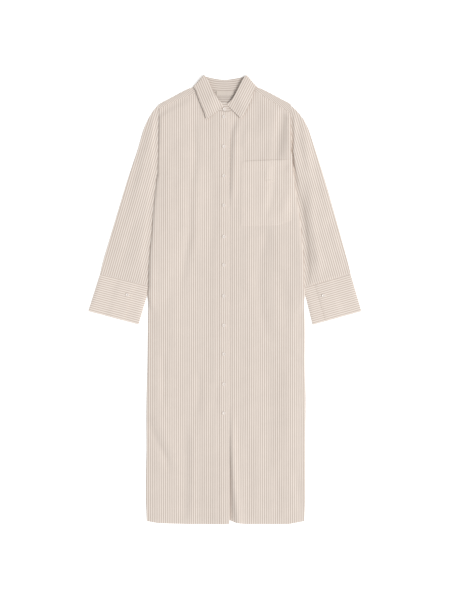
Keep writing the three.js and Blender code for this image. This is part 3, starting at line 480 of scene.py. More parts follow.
# Sleeves: each a tube of the same cloth, pressed flat, sewn into the armhole and turned down so
# that its inner part lies beneath the body. The stripes run down the sleeve.
SLEEVE_LEAN = math.radians(16.3)
TURN = WALL / 2 + PLY / 2       # from a pressed tube's edge to the middle of its turn, in mm
sleeve_folds = {
    "right": [([(-262, 400), (-280, 320), (-302, 236)], 15, -1.2),
              ([(-240, 452), (-246, 390), (-262, 320)], 16, 1.1),
              ([(-300, 330), (-322, 250), (-344, 170)], 15, 1.1),
              ([(-270, 250), (-290, 180), (-314, 100)], 13, -1.0),
              ([(-212, 545), (-222, 500), (-232, 440)], 13, 1.0),
              ([(-236, 545), (-256, 492)], 9, -1.0),
              ([(-250, 205), (-262, 140), (-280, 80)], 14, 0.9)],
    "left": [([(229, 325), (233, 240), (240, 177), (246, 100), (250, 40)], 12, -3.0),
             ([(256, 320), (261, 240), (270, 177), (278, 100), (284, 50)], 12, 3.0),
             ([(264, 420), (276, 350), (296, 262)], 15, -1.8),
             ([(284, 400), (300, 330), (322, 250)], 16, 2.2),
             ([(232, 548), (246, 500), (252, 440)], 13, 2.2),
             ([(218, 540), (224, 470), (238, 400)], 10, -2.2),
             ([(300, 240), (318, 170), (340, 108)], 13, -1.7),
             ([(322, 210), (340, 150), (356, 100)], 14, 1.8),
             ([(276, 150), (292, 100)], 12, 1.4)],
}


def sleeve_loft(side, x, y, from_outer):
    # The upper layer stands up in the middle of the sleeve and sinks in beside the body. On the
    # left the dip is narrow at the underarm, and deep and wide from there down to the cuff.
    left = side == "left"
    clear = sign[side] * x - edge_out(side, y)
    slot = bell(y - UNDERARM, 50) * left
    deep = ease((340 - y) / 70) * left
    start = 1.0 + slot if left else 8.0
    full = 5.4 + 3.8 * slot + 2.2 * deep if left else 2.8
    ramp = 11 + 7 * ease((430 - y) / 200) - 7.6 * slot
    swell = full * ease((clear - start - 1.5 * deep) / (ramp + 3 * deep))
    swell = swell * ease((from_outer + 4) / 52)
    folds = fold_height(sleeve_folds[side], x, y) * ease((clear - 4) / 12) * ease(from_outer / 20)
    return above_zero(swell + folds) * ease((590 - y) / 50) * ease(clear / (4 - 1.4 * slot))


def pressed_section(width, top, under, last=(), last_z=()):
    # Section of a tube pressed flat: upper face, turn at the inner edge, lower face, turn at the
    # outer edge, lapping end. Each has its place across, its height, and where its face looks.
    low, high = WALL / 2, WALL / 2 + PLY
    angles = np.linspace(0, math.pi, 9)[1:-1]
    sideways, up = np.sin(angles), np.cos(angles)
    bulge, drop = PLY / 2 * sideways, low + PLY / 2 * (1 + up)
    parts = [(top, high, 0, 1), (width - TURN + bulge, drop, sideways, up),
             (np.linspace(width - TURN, TURN, under), low, 0, -1),
             (TURN - bulge[::-1], drop[::-1], -sideways[::-1], up[::-1]), (last, last_z, 0, 1)]
    return [np.concatenate([np.zeros(len(part[0])) + part[k] for part in parts]) for k in range(4)]


def across_line(line):
    # A line across a sleeve or cuff: its outer end, its direction inwards and its length.
    width = np.hypot(*(line[2:] - line[:2]))
    return line[:2], (line[2:] - line[:2]) / width, width


def facing(along, tilt, lift):
    return np.stack([along[0] * tilt, along[1] * tilt, lift], -1)


def sleeve_shell(side):
    s = sign[side]
    lines = catmull(np.array(sleeve_table[side], float) * (s, 1, s, 1), 11)
    cos_lean, sin_lean = math.cos(SLEEVE_LEAN), s * math.sin(SLEEVE_LEAN)
    outer, inner, uv = [], [], []
    for i, line in enumerate(lines):
        start, along, width = across_line(line)
        w, z, tilt, lift = pressed_section(width, np.linspace(TURN, width - TURN, 46), 22)
        x, y = start[0] + along[0] * w, start[1] + along[1] * w
        if i == 0:
            x = x + s * SEAM_GAP
        else:
            clear = edge_out(side, y) + (i + 2) * SEAM_GAP
            x = np.where(y > armhole[side][3], s * np.maximum(clear, s * x), x)
        to_cuff = np.hypot(*(start - lines[-1][:2]))
        fade = ease(i / 5.0) * (0.45 + 0.55 * ease(to_cuff / 100)) * ease(to_cuff / 9 + 0.2)
        z = z + np.where(lift > 0.05, lift, 0) * sleeve_loft(side, x, y, w) * fade
        centre, normal = np.stack([x, y, z], -1), facing(along, tilt, lift)
        outer.append(centre + WALL / 2 * normal)
        inner.append(centre + (WALL / 2 - POPLIN) * normal)
        uv.append(np.stack([x * cos_lean + y * sin_lean, y * cos_lean - x * sin_lean], -1) * MM)
    return shell(f"sleeve_{side}_cloth", np.array(outer), np.array(inner), np.array(uv),
                 body_cotton, looped=True)


for side, flat, area in (("right", (0.44, 0.55), 0.124), ("left", (0.44, 0.55), 0.130)):
    sleeve = sleeve_shell(side)
    seat(sleeve, f"sleeve_{side}")


# Fronts: two long poplin panels, sewn to yoke, collar, sleeves and back. The wearer's right one
# laps over the left one at the middle, and their side edges turn down to the back.
LAP_EDGE = 13.5                 # the right front's edge, past the middle
UNDERLAP = -17.0                # the left front's edge beneath it
LAP_RAMP = 24.0                 # width of cloth that climbs on to the underlap
NECK = 74                       # half the neck's width, where collar, yoke and front meet
front_neck = ([-17, 0, 17, 36, 49, 58, 66], [563.5, 563.7, 565.5, 574, 590.5, 603.5, 617])
forward_seam = {
    "right": ([74, 90, 137, 199], [626, 620.4, 604, 574]),
    "left": ([74, 90, 141, 199], [634, 628, 597.5, 560]),
}


def front_top(side, out):
    neck_x, neck_y = front_neck[0] + [NECK], front_neck[1] + [forward_seam[side][1][0]]
    seam = np.interp(out, *forward_seam[side])
    return np.where(out < NECK, np.interp(out, neck_x, neck_y), seam)


def lap_rise(layer, x):
    return PLY * ease((x - UNDERLAP + 2 + 6 * layer + LAP_RAMP) / LAP_RAMP)


def hem_lift(x, y):
    # The lapping edge stands off the left front towards the hem.
    return 7.0 * ease((-370 - y) / 190) * ease((x + 90) / 103)


# The underlying front stands up in a small ridge beside the lap, near the neck and at the hem.
beside_lap = [
    ([(42, 530), (33, 500), (29, 400), (22, 295)], 10, 2.4),
    ([(29, 536), (19, 505), (14, 450), (12, 400), (8, 295)], 7, -2.4),
    ([(21, -370), (24, -470), (29, -560), (39, -660), (47, -760)], 11, 5.6),
    ([(9, -370), (10, -560), (12, -760)], 7, -3.0),
]


def side_turn(side, x, y, lift):
    # The side edge rolls down to meet the back.
    width = 4.4 - 2.0 * (side == "left") * bell(y - UNDERARM, 60)
    near = np.clip(1 - (edge_out(side, y) - sign[side] * x) / width, 0, 1)
    return -(1.7 + lift) * (1 - np.sqrt(1 - near ** 2))


def front_height(side, x, y):
    lift = relief(x, y)
    z = level(1, x, y) + WALL + lift + side_turn(side, x, y, lift)
    if side == "right":
        z = z + lap_rise(1, x) + hem_lift(x, y)
    else:
        z = z + fold_height(beside_lap, x, y)
    return z


for side, first, area in (("right", -LAP_EDGE, 0.302), ("left", UNDERLAP, 0.312)):
    x, y = np.moveaxis(panel_net(side, first, lambda c: front_top(side, c) - SEAM_GAP), -1, 0)
    front = laid(f"front_{side}_cloth", x, y, front_height(side, x, y), POPLIN, body_cotton)
    seat(front, f"front_{side}")


# Placket: a folded band of the same cloth on the right front's lapping edge, from neck to hem,
# held by a row of stitches near each edge.
PLACKET_RISE = 0.8              # its upper face over the front's, in mm
placket_out = np.array([17, 16.6, 15.5, 12, 8, 4, 0, -4, -8, -11, -12.6, -13.3, -13.5])
placket_rows = np.concatenate([np.linspace(-670.5, LEVEL_FROM, 9)[:-1],
                               np.arange(LEVEL_FROM, 563, 9.0), [563.4]])
px, py = np.meshgrid(-placket_out, placket_rows)
py[0] = np.interp(placket_out, *hem_line["right"])
placket_edge = np.minimum(px + placket_out[0], LAP_EDGE - px)
placket_z = front_height("right", px, py) + PLACKET_RISE - 0.6 * (1 - ease(placket_edge / 1.8))
placket = laid("placket_cloth", px, py, placket_z, 0.6, striped_cotton("placket poplin", 1.02, 0.2))
seat(placket, "placket")


# Yoke: one piece of poplin over the shoulders, its stripes along them. It folds forward over
# each shoulder to its seam with the front, and the stand is sewn to its back neckline.
shoulder_fold = ([74, 95.5, 114, 183, 199], [644.5, 637.6, 630.2, 594.5, 585.5])
back_neck = ([0, 17, 36, 58, 74], [625.5, 626.2, 628.3, 634, 644.5])
yoke_columns = np.concatenate([np.arange(0, NECK, 4.0), np.arange(NECK, 196, 5.0), [CHEST]])
yoke_points, yoke_inner, yoke_uv, yoke_index = [], [], [], []
for column_at in np.concatenate([-yoke_columns[::-1], yoke_columns[1:]]):
    side, out = "right" if column_at <= 0 else "left", abs(column_at)
    s = sign[side]
    at_edge = out == CHEST
    top = np.interp(out, *(back_neck if out < NECK else shoulder_fold))

    def place_x(y):
        return s * (float(edge_out(side, y)) if at_edge else out)

    column = []
    for y in YOKE_SEAM + (top - YOKE_SEAM) * np.linspace(0, 1, 13):
        x = place_x(y)
        z = float(level(0, x, y))
        column.append(((x, y, z), (x, y, z + POPLIN), (y, x)))
    if out >= NECK:
        x = place_x(top)
        back_z, front_z = [float(level(layer, x, top)) + WALL / 2 for layer in (0, 1)]
        radius = (front_z - back_z) / 2
        for angle in np.linspace(math.pi, 0, 9)[1:-1]:
            reach = 0 if at_edge else math.sin(angle)
            n3 = np.array([0.45 * s * reach, 0.893 * reach, math.cos(angle)])
            centre = np.array([x, top, (front_z + back_z) / 2]) + n3 * radius
            column.append((centre + WALL / 2 * n3, centre + (WALL / 2 - POPLIN) * n3,
                           (top + radius * (math.pi - angle), x)))
        seam = float(front_top(side, np.array(out))) - 1.6
        for t in np.linspace(0, 1, 7):
            y = top + (seam - top) * t
            x = place_x(y)
            z = float(level(1, x, y)) + WALL + 0.55 * ease(t * 1.6)
            column.append(((x, y, z), (x, y, z - POPLIN), (2 * top - y + 2, x)))
    yoke_index.append(range(len(yoke_points), len(yoke_points) + len(column)))
    for store, part in zip((yoke_points, yoke_inner, yoke_uv), zip(*column)):
        store.extend(part)
yoke_cells = []
for a, b in zip(yoke_index, yoke_index[1:]):
    for j in range(min(len(a), len(b)) - 1):
        yoke_cells.append((a[j], a[j + 1], b[j + 1], b[j]))
yoke = shell("yoke_cloth", *[np.array(store, float)[None] for store in (yoke_points, yoke_inner)],
             np.array(yoke_uv)[None] * MM, striped_cotton("yoke poplin", 0.97),
             cells=np.array(yoke_cells))
# Inside the neck the cloth lies in the collar's shade, more than these flat layers give it, so the
# faces there get a darker tone: painted shade.
yoke.data.materials.append(striped_cotton("yoke poplin with painted neck shade", 0.82))
for face in yoke.data.polygons:
    if abs(face.center.x) < NECK * MM and face.center.z < 3.4 * MM:
        face.material_index = 1
seat(yoke, "yoke")


# Collar stand: a stiffened poplin band sewn upright round the neckline and pressed flat with it.
# Its right end laps over its left one and carries the top button.
STAND_SIDE_GAP = 1.9            # the stand keeps this far inside the neck's corner, in mm
STAND_FOOT = 0.4                # and its foot this far above the neckline
collar_front = [(74, 61.5, 670.5, 94.5, 638.2), (74, 54.5, 660.5, 87.5, 627),
                (66, 47, 646.5, 83, 614), (58, 39.5, 631, 76, 595.5),
                (49, 31.5, 616, 69, 578.4), (36, 22.5, 601.5, 62.5, 562.8)]
stand_end = [(17, 13.5, 592.5), (0, 0, 590.8), (-10.5, -9.5, 588.0), (-13.5, -11.5, 582)]
back_seam_out = [74, 58, 36, 17, 0]
neck_corner = (NECK - STAND_SIDE_GAP, float(np.interp(NECK, *shoulder_fold)) + 0.3)


def collar_rows(kind, side):
    # Rows from the front end to the middle of the back: turn, seam, roll and edge in plan.
    rows = []
    ends = [(*end, 0, 0) for end in stand_end] if kind == "stand" else leaf_end[side]
    for k, (seam_out, roll_out, roll_y, edge_o, edge_y) in enumerate(collar_front + ends):
        seam = (seam_out - (0.8 if seam_out > BAND else 0),
                float(front_top(side, np.array(seam_out))) + STAND_FOOT)
        rows.append((0.0, *(seam if k else neck_corner), roll_out, roll_y, edge_o, edge_y))
    rows.reverse()
    for turn in np.linspace(0, 1, 9)[1:]:
        rows.append((turn, *neck_corner, *collar_back[0]))
    for out, back in list(zip(back_seam_out, collar_back))[1:]:
        rows.append((1.0, out, float(np.interp(out, *back_neck)) + STAND_FOOT, *back))
    rows = np.array(rows)
    rows[:, 1::2] *= sign[side]
    return rows


def refined(rows, steps):
    # More stations between the rows; the side fold's turn stays even.
    fine = catmull(rows, steps)
    at = np.linspace(0, len(rows) - 1, len(fine))
    fine[:, 0] = np.interp(at, np.arange(len(rows)), rows[:, 0])
    return fine


def fold_out(side, low_x, low_y):
    # The way the fold at the neck's side bulges, square to it in plan.
    roll_out, roll_y = collar_back[0][:2]
    along = np.array([sign[side] * roll_out - low_x, roll_y - low_y])
    along /= np.hypot(*along)
    return np.array([sign[side] * abs(along[1]), abs(along[0])])


def collar_height(kind, side, x, y):
    layer = 1 if kind == "stand" else 2
    z = level(layer, x, y) + WALL / 2
    if side == "right":
        return z + lap_rise(layer, x)
    return z if kind == "stand" else z + PLY * (1 - ease((x - LAP_EDGE - 4) / 16))


def turned(x, y, outward, front_z, back_z, turn, offset):
    # Points carried round the fold at the neck's side: turn 0 is the front, 1 the back.
    angle = math.pi * turn
    radius = (front_z - back_z) / 2
    n3 = np.array([*(outward * math.sin(angle)), math.cos(angle)])
    centre = np.stack([x, y, (front_z + back_z) / 2], -1)
    return centre + n3 * (radius + offset)[..., None]


def roll_rise(turn, x, y):
    # The roll stands up beside the neck, sinks towards the top button and is flat at the back.
    above_button = y - 588
    away = np.hypot(x, np.minimum(above_button, 0)) + np.maximum(above_button, 0)
    return 7.2 * ease(1 - turn * 2.2) * ease((away - 6) / 60)


stand_outer, stand_inner, stand_uv = [], [], []
for side in sign:
    rows = refined(collar_rows("stand", side), 5)
    outward = fold_out(side, sign[side] * neck_corner[0], neck_corner[1])
    for turn, sx, sy, rx, ry, _, _ in rows if side == "right" else rows[-2::-1]:
        t = np.linspace(0, 1, 9)
        x, y = sx + (rx - sx) * t, sy + (ry - sy) * t
        front_z = collar_height("stand", side, x, y)
        back_z = np.full_like(front_z, PLY + WALL / 2)
        if turn < 1:
            back_z = np.maximum(back_z, front_z - PLY)
        lift = t * roll_rise(turn, rx, ry)
        for store, face in ((stand_outer, 0.5), (stand_inner, -0.4)):
            store.append(turned(x, y, outward, front_z, back_z, turn, face + lift))
        height = np.hypot(rx - sx, ry - sy)
        stand_uv.append(np.stack([t * height, np.full_like(t, len(stand_uv) * 3.0)], -1) * MM)
# The whole stand is drawn in a darker tone of the cloth (0.92): painted shade for the shade that
# lies inside the neck.
stand = shell("collar_stand_cloth", np.array(stand_outer), np.array(stand_inner),
              np.array(stand_uv), striped_cotton("stand poplin with painted shade", 0.92, 0.15))
seat(stand, "collar_stand")


# Collar fall: a stiffened, pointed poplin collar, sewn to the stand's top edge and rolled over
# it. The stripes follow its outer edge, and a row of stitches runs round its free edges.
leaf_end = {
    "right": [(17, 13.5, 592.5, 59.5, 553), (2, 6.5, 578, 55.5, 541.5)],
    "left": [(17, 13.5, 592.5, 54.5, 554.5), (2, 4.5, 586.5, 46.8, 544.5)],
}
fall_outer, fall_inner, fall_uv = [], [], []
for side in sign:
    s = sign[side]
    table = collar_rows("fall", side)
    rows = refined(table, 5)
    corner = np.array([s * collar_back[0][2], collar_back[0][3]])
    outward = fold_out(side, *corner)
    tip = table[0][5:]
    edge_dir = (tip - corner) / np.hypot(*(tip - corner))
    for k in range(len(rows)) if side == "right" else range(len(rows) - 2, -1, -1):
        turn, _, _, rx, ry, ex, ey = rows[k]
        width = np.hypot(ex - rx, ey - ry)
        across = np.array([ex - rx, ey - ry]) / width
        near_end = ease((k - 1) / 6.0)
        lip = 0.12 + 0.88 * near_end
        w = np.concatenate([[-1.3, -1.5, -1.2, -0.5, 0.6, 2.2], np.linspace(5, width - 1.2, 10),
                            [width - 0.5, width]])
        h = np.array([-2.1 * lip, -0.9 * lip, 0.1, 0.55, 0.8, 0.9] + [0.5] * 10 + [0.42, 0.1])
        flat_back = ease(1 - turn * 2.2)
        h = np.minimum(h, 0.42 + 0.5 * flat_back)
        crown = roll_rise(turn, rx, ry) + 1.2 * near_end * flat_back
        crown = crown * (1 - ease((w - 6) / (width - 4))) + 4.6 * ease(w / width) * (turn == 0)
        x, y = rx + across[0] * w, ry + across[1] * w
        front_z = collar_height("fall", side, x, y)
        back_z = np.full_like(front_z, WALL / 2)
        fall_outer.append(turned(x, y, outward, front_z, back_z, turn, h + crown))
        thick = np.array([0.9] * 3 + [0.95] * 13 + [0.8, 0.3])
        w_in = w.copy()
        w_in[:4] += [1.0, 1.05, 0.9, 0.4]
        under = h + crown - np.where(w < -0.9, 0.12, thick)
        fall_inner.append(turned(rx + across[0] * w_in, ry + across[1] * w_in, outward,
                                 front_z, back_z, turn, under))
        if turn < 0.5:
            u = (x - corner[0]) * edge_dir[1] - (y - corner[1]) * edge_dir[0]
            v = (x - corner[0]) * edge_dir[0] + (y - corner[1]) * edge_dir[1]
        else:
            u, v = (width - w) * s, np.full_like(w, k * 2.0)
        fall_uv.append(np.stack([u, v], -1) * MM)
# The collar's cloth is drawn 1 % darker than the body's (0.99) as painted shade.
fall = shell("collar_cloth", np.array(fall_outer), np.array(fall_inner), np.array(fall_uv),
             striped_cotton("collar poplin with painted shade", 0.99, 0.15))
seat(fall, "collar")


# Cuffs: a deep stiffened poplin band sewn round each sleeve's end, its outer end lapped over the
# inner one and buttoned. The stripes run round it, level with its edges.
cuff_low = {"right": (409.8, -33.6, 259, -73.5), "left": (409.2, -33.6, 263, -74.4)}
CUFF_DEPTH = 118.0
CUFF_LAP = 112.0                # where the lapping end stops, from the cuff's outer edge
cuff_cotton = striped_cotton("cuff poplin", 1.045, 0.12)


def cuff_section(width):
    # The upper face in two parts: the end beneath, and the lapping end, which climbs on to it.
    last = np.concatenate([np.linspace(TURN, 50, 9), np.linspace(54, 71, 6),
                           np.linspace(76, 110, 9), [111.4, CUFF_LAP]])
    rise = WALL / 2 + PLY + PLY * ease((last - 50) / 21.0) - 0.25 * ease((last - 104) / 8)
    thin = 0.4 * ease((last - 103) / 9)
    section = pressed_section(width, np.linspace(82, width - TURN, 16), 24, last, rise)
    return *section, np.concatenate([np.zeros(len(section[0]) - len(last)), thin])


def cuff_line(side, share):
    # The line across a cuff at this share of its depth from the sleeve's end.
    top = np.array(sleeve_table[side][-1], float)
    line = top + (np.array(cuff_low[side], float) - top) * share
    return across_line(line * (sign[side], 1, sign[side], 1))


def cuff_loft(w, width, share):
    # The upper face stands up a little in the middle of the cuff.
    return 2.2 * ease(w / 9) * ease((width - w) / 9) * math.sin(math.pi * min(1, share * 1.02))


for side in sign:
    outer, inner, uv = [], [], []
    for share in [0.0035, 0.012, 0.03, *np.linspace(0.07, 0.95, 18), 0.98, 0.995, 1.0]:
        start, along, width = cuff_line(side, share)
        w, z, tilt, lift, thin = cuff_section(width)
        rim = 0.35 * ease((0.02 - share) / 0.02) + 0.35 * ease((share - 0.985) / 0.015)
        loft = np.where((lift > 0.9) & (z > 1.0), cuff_loft(w, width, share), 0)
        centre = np.column_stack([start + along * w[:, None], z + loft])
        normal = facing(along, tilt, lift)
        outer.append(centre + (0.5 - rim - thin)[:, None] * normal)
        inner.append(centre - (0.45 - rim) * normal)
        uv.append(np.stack([np.full_like(w, share * CUFF_DEPTH), w], -1) * MM)
    cuff = shell(f"cuff_{side}_cloth", np.array(outer), np.array(inner), np.array(uv), cuff_cotton)
    seat(cuff, f"cuff_{side}")


# Chest pocket on the wearer's left with a small tab of the same poplin at its mouth: each a single
# layer with its edges turned in, sewn on round three sides.
PATCH_STEP = 0.62               # rise from one sewn-on layer to the next, in mm


def patch_height(layer, x, y):
    return level(1, x, y) + WALL + PATCH_STEP * (layer - 1) + relief(x, y)


def patch(name, corners, layer, columns, rows, material, swell, droop=0.0):
    # A patch between its top and bottom corners; `droop` lowers its bottom edge to a blunt point.
    (tlx, tly), (trx, try_), (blx, bly), (brx, bry) = corners
    s, t = np.meshgrid([0, 0.004, 0.012, *np.linspace(0.03, 0.97, columns), 0.988, 0.996, 1],
                       [0, 0.003, 0.009, *np.linspace(0.03, 0.97, rows), 0.991, 0.997, 1])
    x = (blx + (brx - blx) * s) * (1 - t) + (tlx + (trx - tlx) * s) * t
    y = (bly + (bry - bly) * s) * (1 - t) + (tly + (try_ - tly) * s) * t
    y = y - droop * np.minimum(s / 0.73, (1 - s) / 0.27) * (1 - t)
    inside = np.minimum(np.minimum(s, 1 - s) * (trx - tlx), np.minimum(t, 1 - t) * (tly - bly))
    z = patch_height(layer, x, y) + swell(s, t) - 0.3 * (1 - ease(inside / 2.0))
    return laid(name, x, y, z, 0.55, material)


def pocket_swell(s, t):
    # The pocket stands off the front a little, most at its open mouth.
    mouth = 1.5 * ease((t - 0.86) / 0.14) * np.sin(math.pi * s)
    return mouth + 0.5 * ease(t * 3) * ease((1 - s) * 5) * ease(s * 5)


pocket = patch("pocket_cloth", [(49, 415.5), (197.5, 421), (47, 222), (199, 238)], 2, 26, 34,
               striped_cotton("pocket poplin", 1.045, 0.25), pocket_swell, droop=10.2)
seat(pocket, "pocket")
tab = patch("pocket_tab_cloth", [(118, 418.5), (153, 420), (118, 352), (153, 353)], 3, 8, 12,
            striped_cotton("tab poplin", 1.06, 0.15),
            lambda s, t: 0.3 * ease(s * 4) * ease((1 - s) * 4))
seat(tab, "pocket_tab")


# Neck label: a small blank tab of woven satin, sewn over the back neck seam inside the collar.
# Its plain, slightly darker face carries no lettering.
label_cloth, tree, shader = new_material("label satin", {"Roughness": 0.55, "Sheen Weight": 0.3})
_, height, uneven = woven(tree, 0.1)
label_tone = mixed(tree, uneven, (0.50, 0.43, 0.37, 1), (0.70, 0.62, 0.55, 1))
label_bump = add(tree, "ShaderNodeBump", {"Height": height, "Distance": 0.001})
feed(tree, shader, {"Base Color": label_tone, "Normal": label_bump["Normal"]})
lx, ly = np.meshgrid(np.concatenate([[-26, -25.7], np.linspace(-25, 25, 21), [25.7, 26]]),
                     np.concatenate([[613.8, 614.1], np.linspace(614.8, 626.2, 7), [626.8, 627]]))
label_rim = (np.abs(lx) > 25.8) | (ly > 626.9) | (ly < 613.9)
label_z = 2 * PLY + 0.62 + 0.12 * np.sin(lx / 6.0) - 0.25 * label_rim
label = laid("neck_label_cloth", lx, ly, label_z, 0.4, label_cloth)
seat(label, "neck_label", slot="label")


# Buttons: pale four-hole resin shirt buttons with a raised rim, each sewn on with a cross of
# thread, eleven down the placket, one on the stand and one on each cuff.
def two_toned(name, dark, light, grain, values):
    material, tree, shader = new_material(name, values)
    place = add(tree, "ShaderNodeTexCoord", {})["Object"]
    feed(tree, shader, {"Base Color": mixed(tree, noise(tree, place, **grain), dark, light)})
    return material


button_resin = two_toned("button resin", (0.79, 0.705, 0.65, 1), (0.92, 0.85, 0.79, 1),
                         {"Scale": 420.0, "Detail": 2.0, "Distortion": 2.0},
                         {"Roughness": 0.22, "Coat Weight": 0.4, "Coat Roughness": 0.12})
cotton_thread = two_toned("cotton thread", (0.80, 0.73, 0.66, 1), (0.92, 0.87, 0.81, 1),
                          {"Scale": 900.0}, {"Roughness": 0.7})

BUTTON_RADIUS = 5.5
button_profile = [(0, 0), (4.4, 0), (5.2, 0.35), (5.5, 0.95), (5.4, 1.6), (4.95, 2.0), (4.4, 2.05),
                  (3.9, 1.75), (3.3, 1.55), (0, 1.5)]


def mesh_from(name, work):
    mesh = bpy.data.meshes.new(name)
    work.to_mesh(mesh)
    work.free()
    return mesh


def rod(work, radius, length, sides):
    return bmesh.ops.create_cone(work, cap_ends=True, segments=sides, radius1=radius * MM,
                                 radius2=radius * MM, depth=length * MM)["verts"]


def as_mesh(piece):
    # The piece's mesh with its modifiers applied; the piece itself goes.
    bpy.context.view_layer.update()
    mesh = bpy.data.meshes.new_from_object(
        piece.evaluated_get(bpy.context.evaluated_depsgraph_get()))
    bpy.data.objects.remove(piece)
    return mesh


def button_mesh():
    # One button turned on its axis, then drilled with four holes.
    work = bmesh.new()
    steps = 36
    rings = []
    for r, z in button_profile:
        turns = [2 * math.pi * k / steps for k in range(steps if r else 1)]
        rings.append([work.verts.new((r * math.cos(a) * MM, r * math.sin(a) * MM, z * MM))
                      for a in turns])
    for a, b in zip(rings, rings[1:]):
        for k in range(steps):
            j = (k + 1) % steps
            corners = (a[k % len(a)], a[j % len(a)], b[j % len(b)], b[k % len(b)])
            work.faces.new(tuple(dict.fromkeys(corners)))
    bmesh.ops.recalc_face_normals(work, faces=work.faces)
    blank = placed("button blank", mesh_from("button blank", work))
    drill = bmesh.new()
    for dx in (-1.15, 1.15):
        for dy in (-1.15, 1.15):
            bmesh.ops.translate(drill, verts=rod(drill, 0.62, 6, 12), vec=(dx * MM, dy * MM, MM))
    cutter = placed("drill", mesh_from("drill", drill))
    cut = blank.modifiers.new("holes", "BOOLEAN")
    cut.operation = "DIFFERENCE"
    cut.object = cutter
    cut.solver = "EXACT"
    drilled = as_mesh(blank)
    bpy.data.objects.remove(cutter)
    return drilled


def thread_bars(work, x, y, z):
    # Two crossing bars of thread between the holes, bowed up in the middle.
    for turn in (math.pi / 4, -math.pi / 4):
        for v in rod(work, 0.3, 3.4, 8):
            beside, up, along = v.co
            bow = 0.35 * MM * (1 - (along / (1.7 * MM)) ** 2)
            v.co = (x * MM + along * math.cos(turn) - beside * math.sin(turn),
                    y * MM + along * math.sin(turn) + beside * math.cos(turn), z * MM + up + bow)


drilled_button = button_mesh()
drilled_button.materials.append(button_resin)


def surface_top(kind, x, y):
    # The highest place of the cloth under a button.
    a = np.linspace(0, 2 * math.pi, 12, endpoint=False)
    xs, ys = x + BUTTON_RADIUS * np.cos(a), y + BUTTON_RADIUS * np.sin(a)
    if kind == "placket":
        return float(np.max(front_height("right", xs, ys) + PLACKET_RISE))
    if kind == "stand":
        return float(np.max(collar_height("stand", "right", xs, ys) + 1.0))
    return 2 * PLY + WALL + 2.2


button_places = [(f"button_{i + 1:02d}", -3.0, y, "placket") for i, y in enumerate(
    [549, 460, 372, 283.5, 190, 105, 12, -76, -162, -252, -339])]
button_places.append(("button_stand", -1.5, 572.0, "stand"))
for side in sign:
    low_corner, high_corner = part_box(f"button_cuff_{side}")
    spot = (np.array(low_corner) + np.array(high_corner)) / 2 / MM
    button_places.append((f"button_cuff_{side}", float(spot[0]), float(spot[1]), "cuff"))
for name, x, y, kind in button_places:
    z = surface_top(kind, x, y) + 0.2
    body = drilled_button.copy()
    body.name = f"{name}_drilled"
    body.transform(Matrix.Translation((x * MM, y * MM, z * MM)))
    body.shade_smooth()
    body.set_sharp_from_angle(angle=math.radians(35))
    button = placed(f"{name}_drilled", body)
    seat(button, name, slot="button")
    work = bmesh.new()
    thread_bars(work, x, y, z + 1.75)
    cross = placed(f"{name}_thread", mesh_from(f"{name}_thread", work))
    cross.data.materials.append(cotton_thread)
    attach(cross, "root")


# Topstitching: lockstitch in matching cotton thread along the placket, cuffs, collar, pocket,
# yoke, armholes and hem. Each run is a path on the cloth with a stitch set at every step.
stitch_tree, given, result = node_group("lockstitch run", "GeometryNodeTree", [
    ("Geometry", "Geometry", None), ("Pitch", "Float", 0.0028), ("Stitch length", "Float", 0.0021),
    ("Thread", "Float", 0.0003), ("Thread material", "Material", None)],
    [("Geometry", "Geometry")])
steps = add(stitch_tree, "GeometryNodeResampleCurve",
            {"Curve": given["Geometry"], "Length": given["Pitch"]}, mode="LENGTH")
tangent = add(stitch_tree, "GeometryNodeInputTangent", {})["Tangent"]
turn = add(stitch_tree, "FunctionNodeAlignRotationToVector", {"Vector": tangent}, axis="X")
bead = add(stitch_tree, "GeometryNodeMeshUVSphere", {"Segments": 6, "Rings": 4, "Radius": 0.5})
size = add(stitch_tree, "ShaderNodeCombineXYZ",
           {"X": given["Stitch length"], "Y": given["Thread"], "Z": given["Thread"]})
stitch = add(stitch_tree, "GeometryNodeTransform",
             {"Geometry": bead["Mesh"], "Scale": size["Vector"]})
spots = add(stitch_tree, "GeometryNodeInstanceOnPoints", {
    "Points": steps["Curve"], "Instance": stitch["Geometry"], "Rotation": turn["Rotation"]})
real = add(stitch_tree, "GeometryNodeRealizeInstances", {"Geometry": spots["Instances"]})
paint = add(stitch_tree, "GeometryNodeSetMaterial",
            {"Geometry": real["Geometry"], "Material": given["Thread material"]})
feed(stitch_tree, result, {"Geometry": paint["Geometry"]})
stitch_keys = {item.name: item.identifier for item in stitch_tree.interface.items_tree
               if item.in_out == "INPUT"}


def stitch_run(name, paths, pitch=2.8, length=2.1, thread=0.32):
    curve = bpy.data.curves.new(name, "CURVE")
    curve.dimensions = "3D"
    for path in paths:
        path = np.asarray(path, float)
        spline = curve.splines.new("POLY")
        spline.points.add(len(path) - 1)
        spline.points.foreach_set("co", np.hstack([path * MM, np.ones((len(path), 1))]).ravel())
    run = placed(name, curve)
    modifier = run.modifiers.new("stitches", "NODES")
    modifier.node_group = stitch_tree
    for key, value in (("Pitch", pitch * MM), ("Stitch length", length * MM),
                       ("Thread", thread * MM), ("Thread material", cotton_thread)):
        modifier[stitch_keys[key]] = value
    mesh = as_mesh(run)
    mesh.name = name
    mesh.shade_smooth()
    piece = placed(name, mesh)
    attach(piece, "root")


def on_front(side, x, y, lift=0.12):
    x = np.zeros_like(y) + x
    return np.column_stack([x, y, front_height(side, x, y) + lift])


run_y = np.linspace(-664, 558, 180)
stitch_run("placket_stitches",
           [on_front("right", x, run_y, PLACKET_RISE + 0.1) for x in (-13.6, 10.2)])

hole_paths = []
for name, x, y, kind in button_places[:11]:
    for dx in (-0.8, 0.8):
        hole_y = np.linspace(y - 8.5, y + 8.5, 12)
        hole_paths.append(on_front("right", x + dx, hole_y, PLACKET_RISE + 0.08))
stitch_run("buttonhole_stitches", hole_paths, pitch=0.55, length=0.75, thread=0.45)

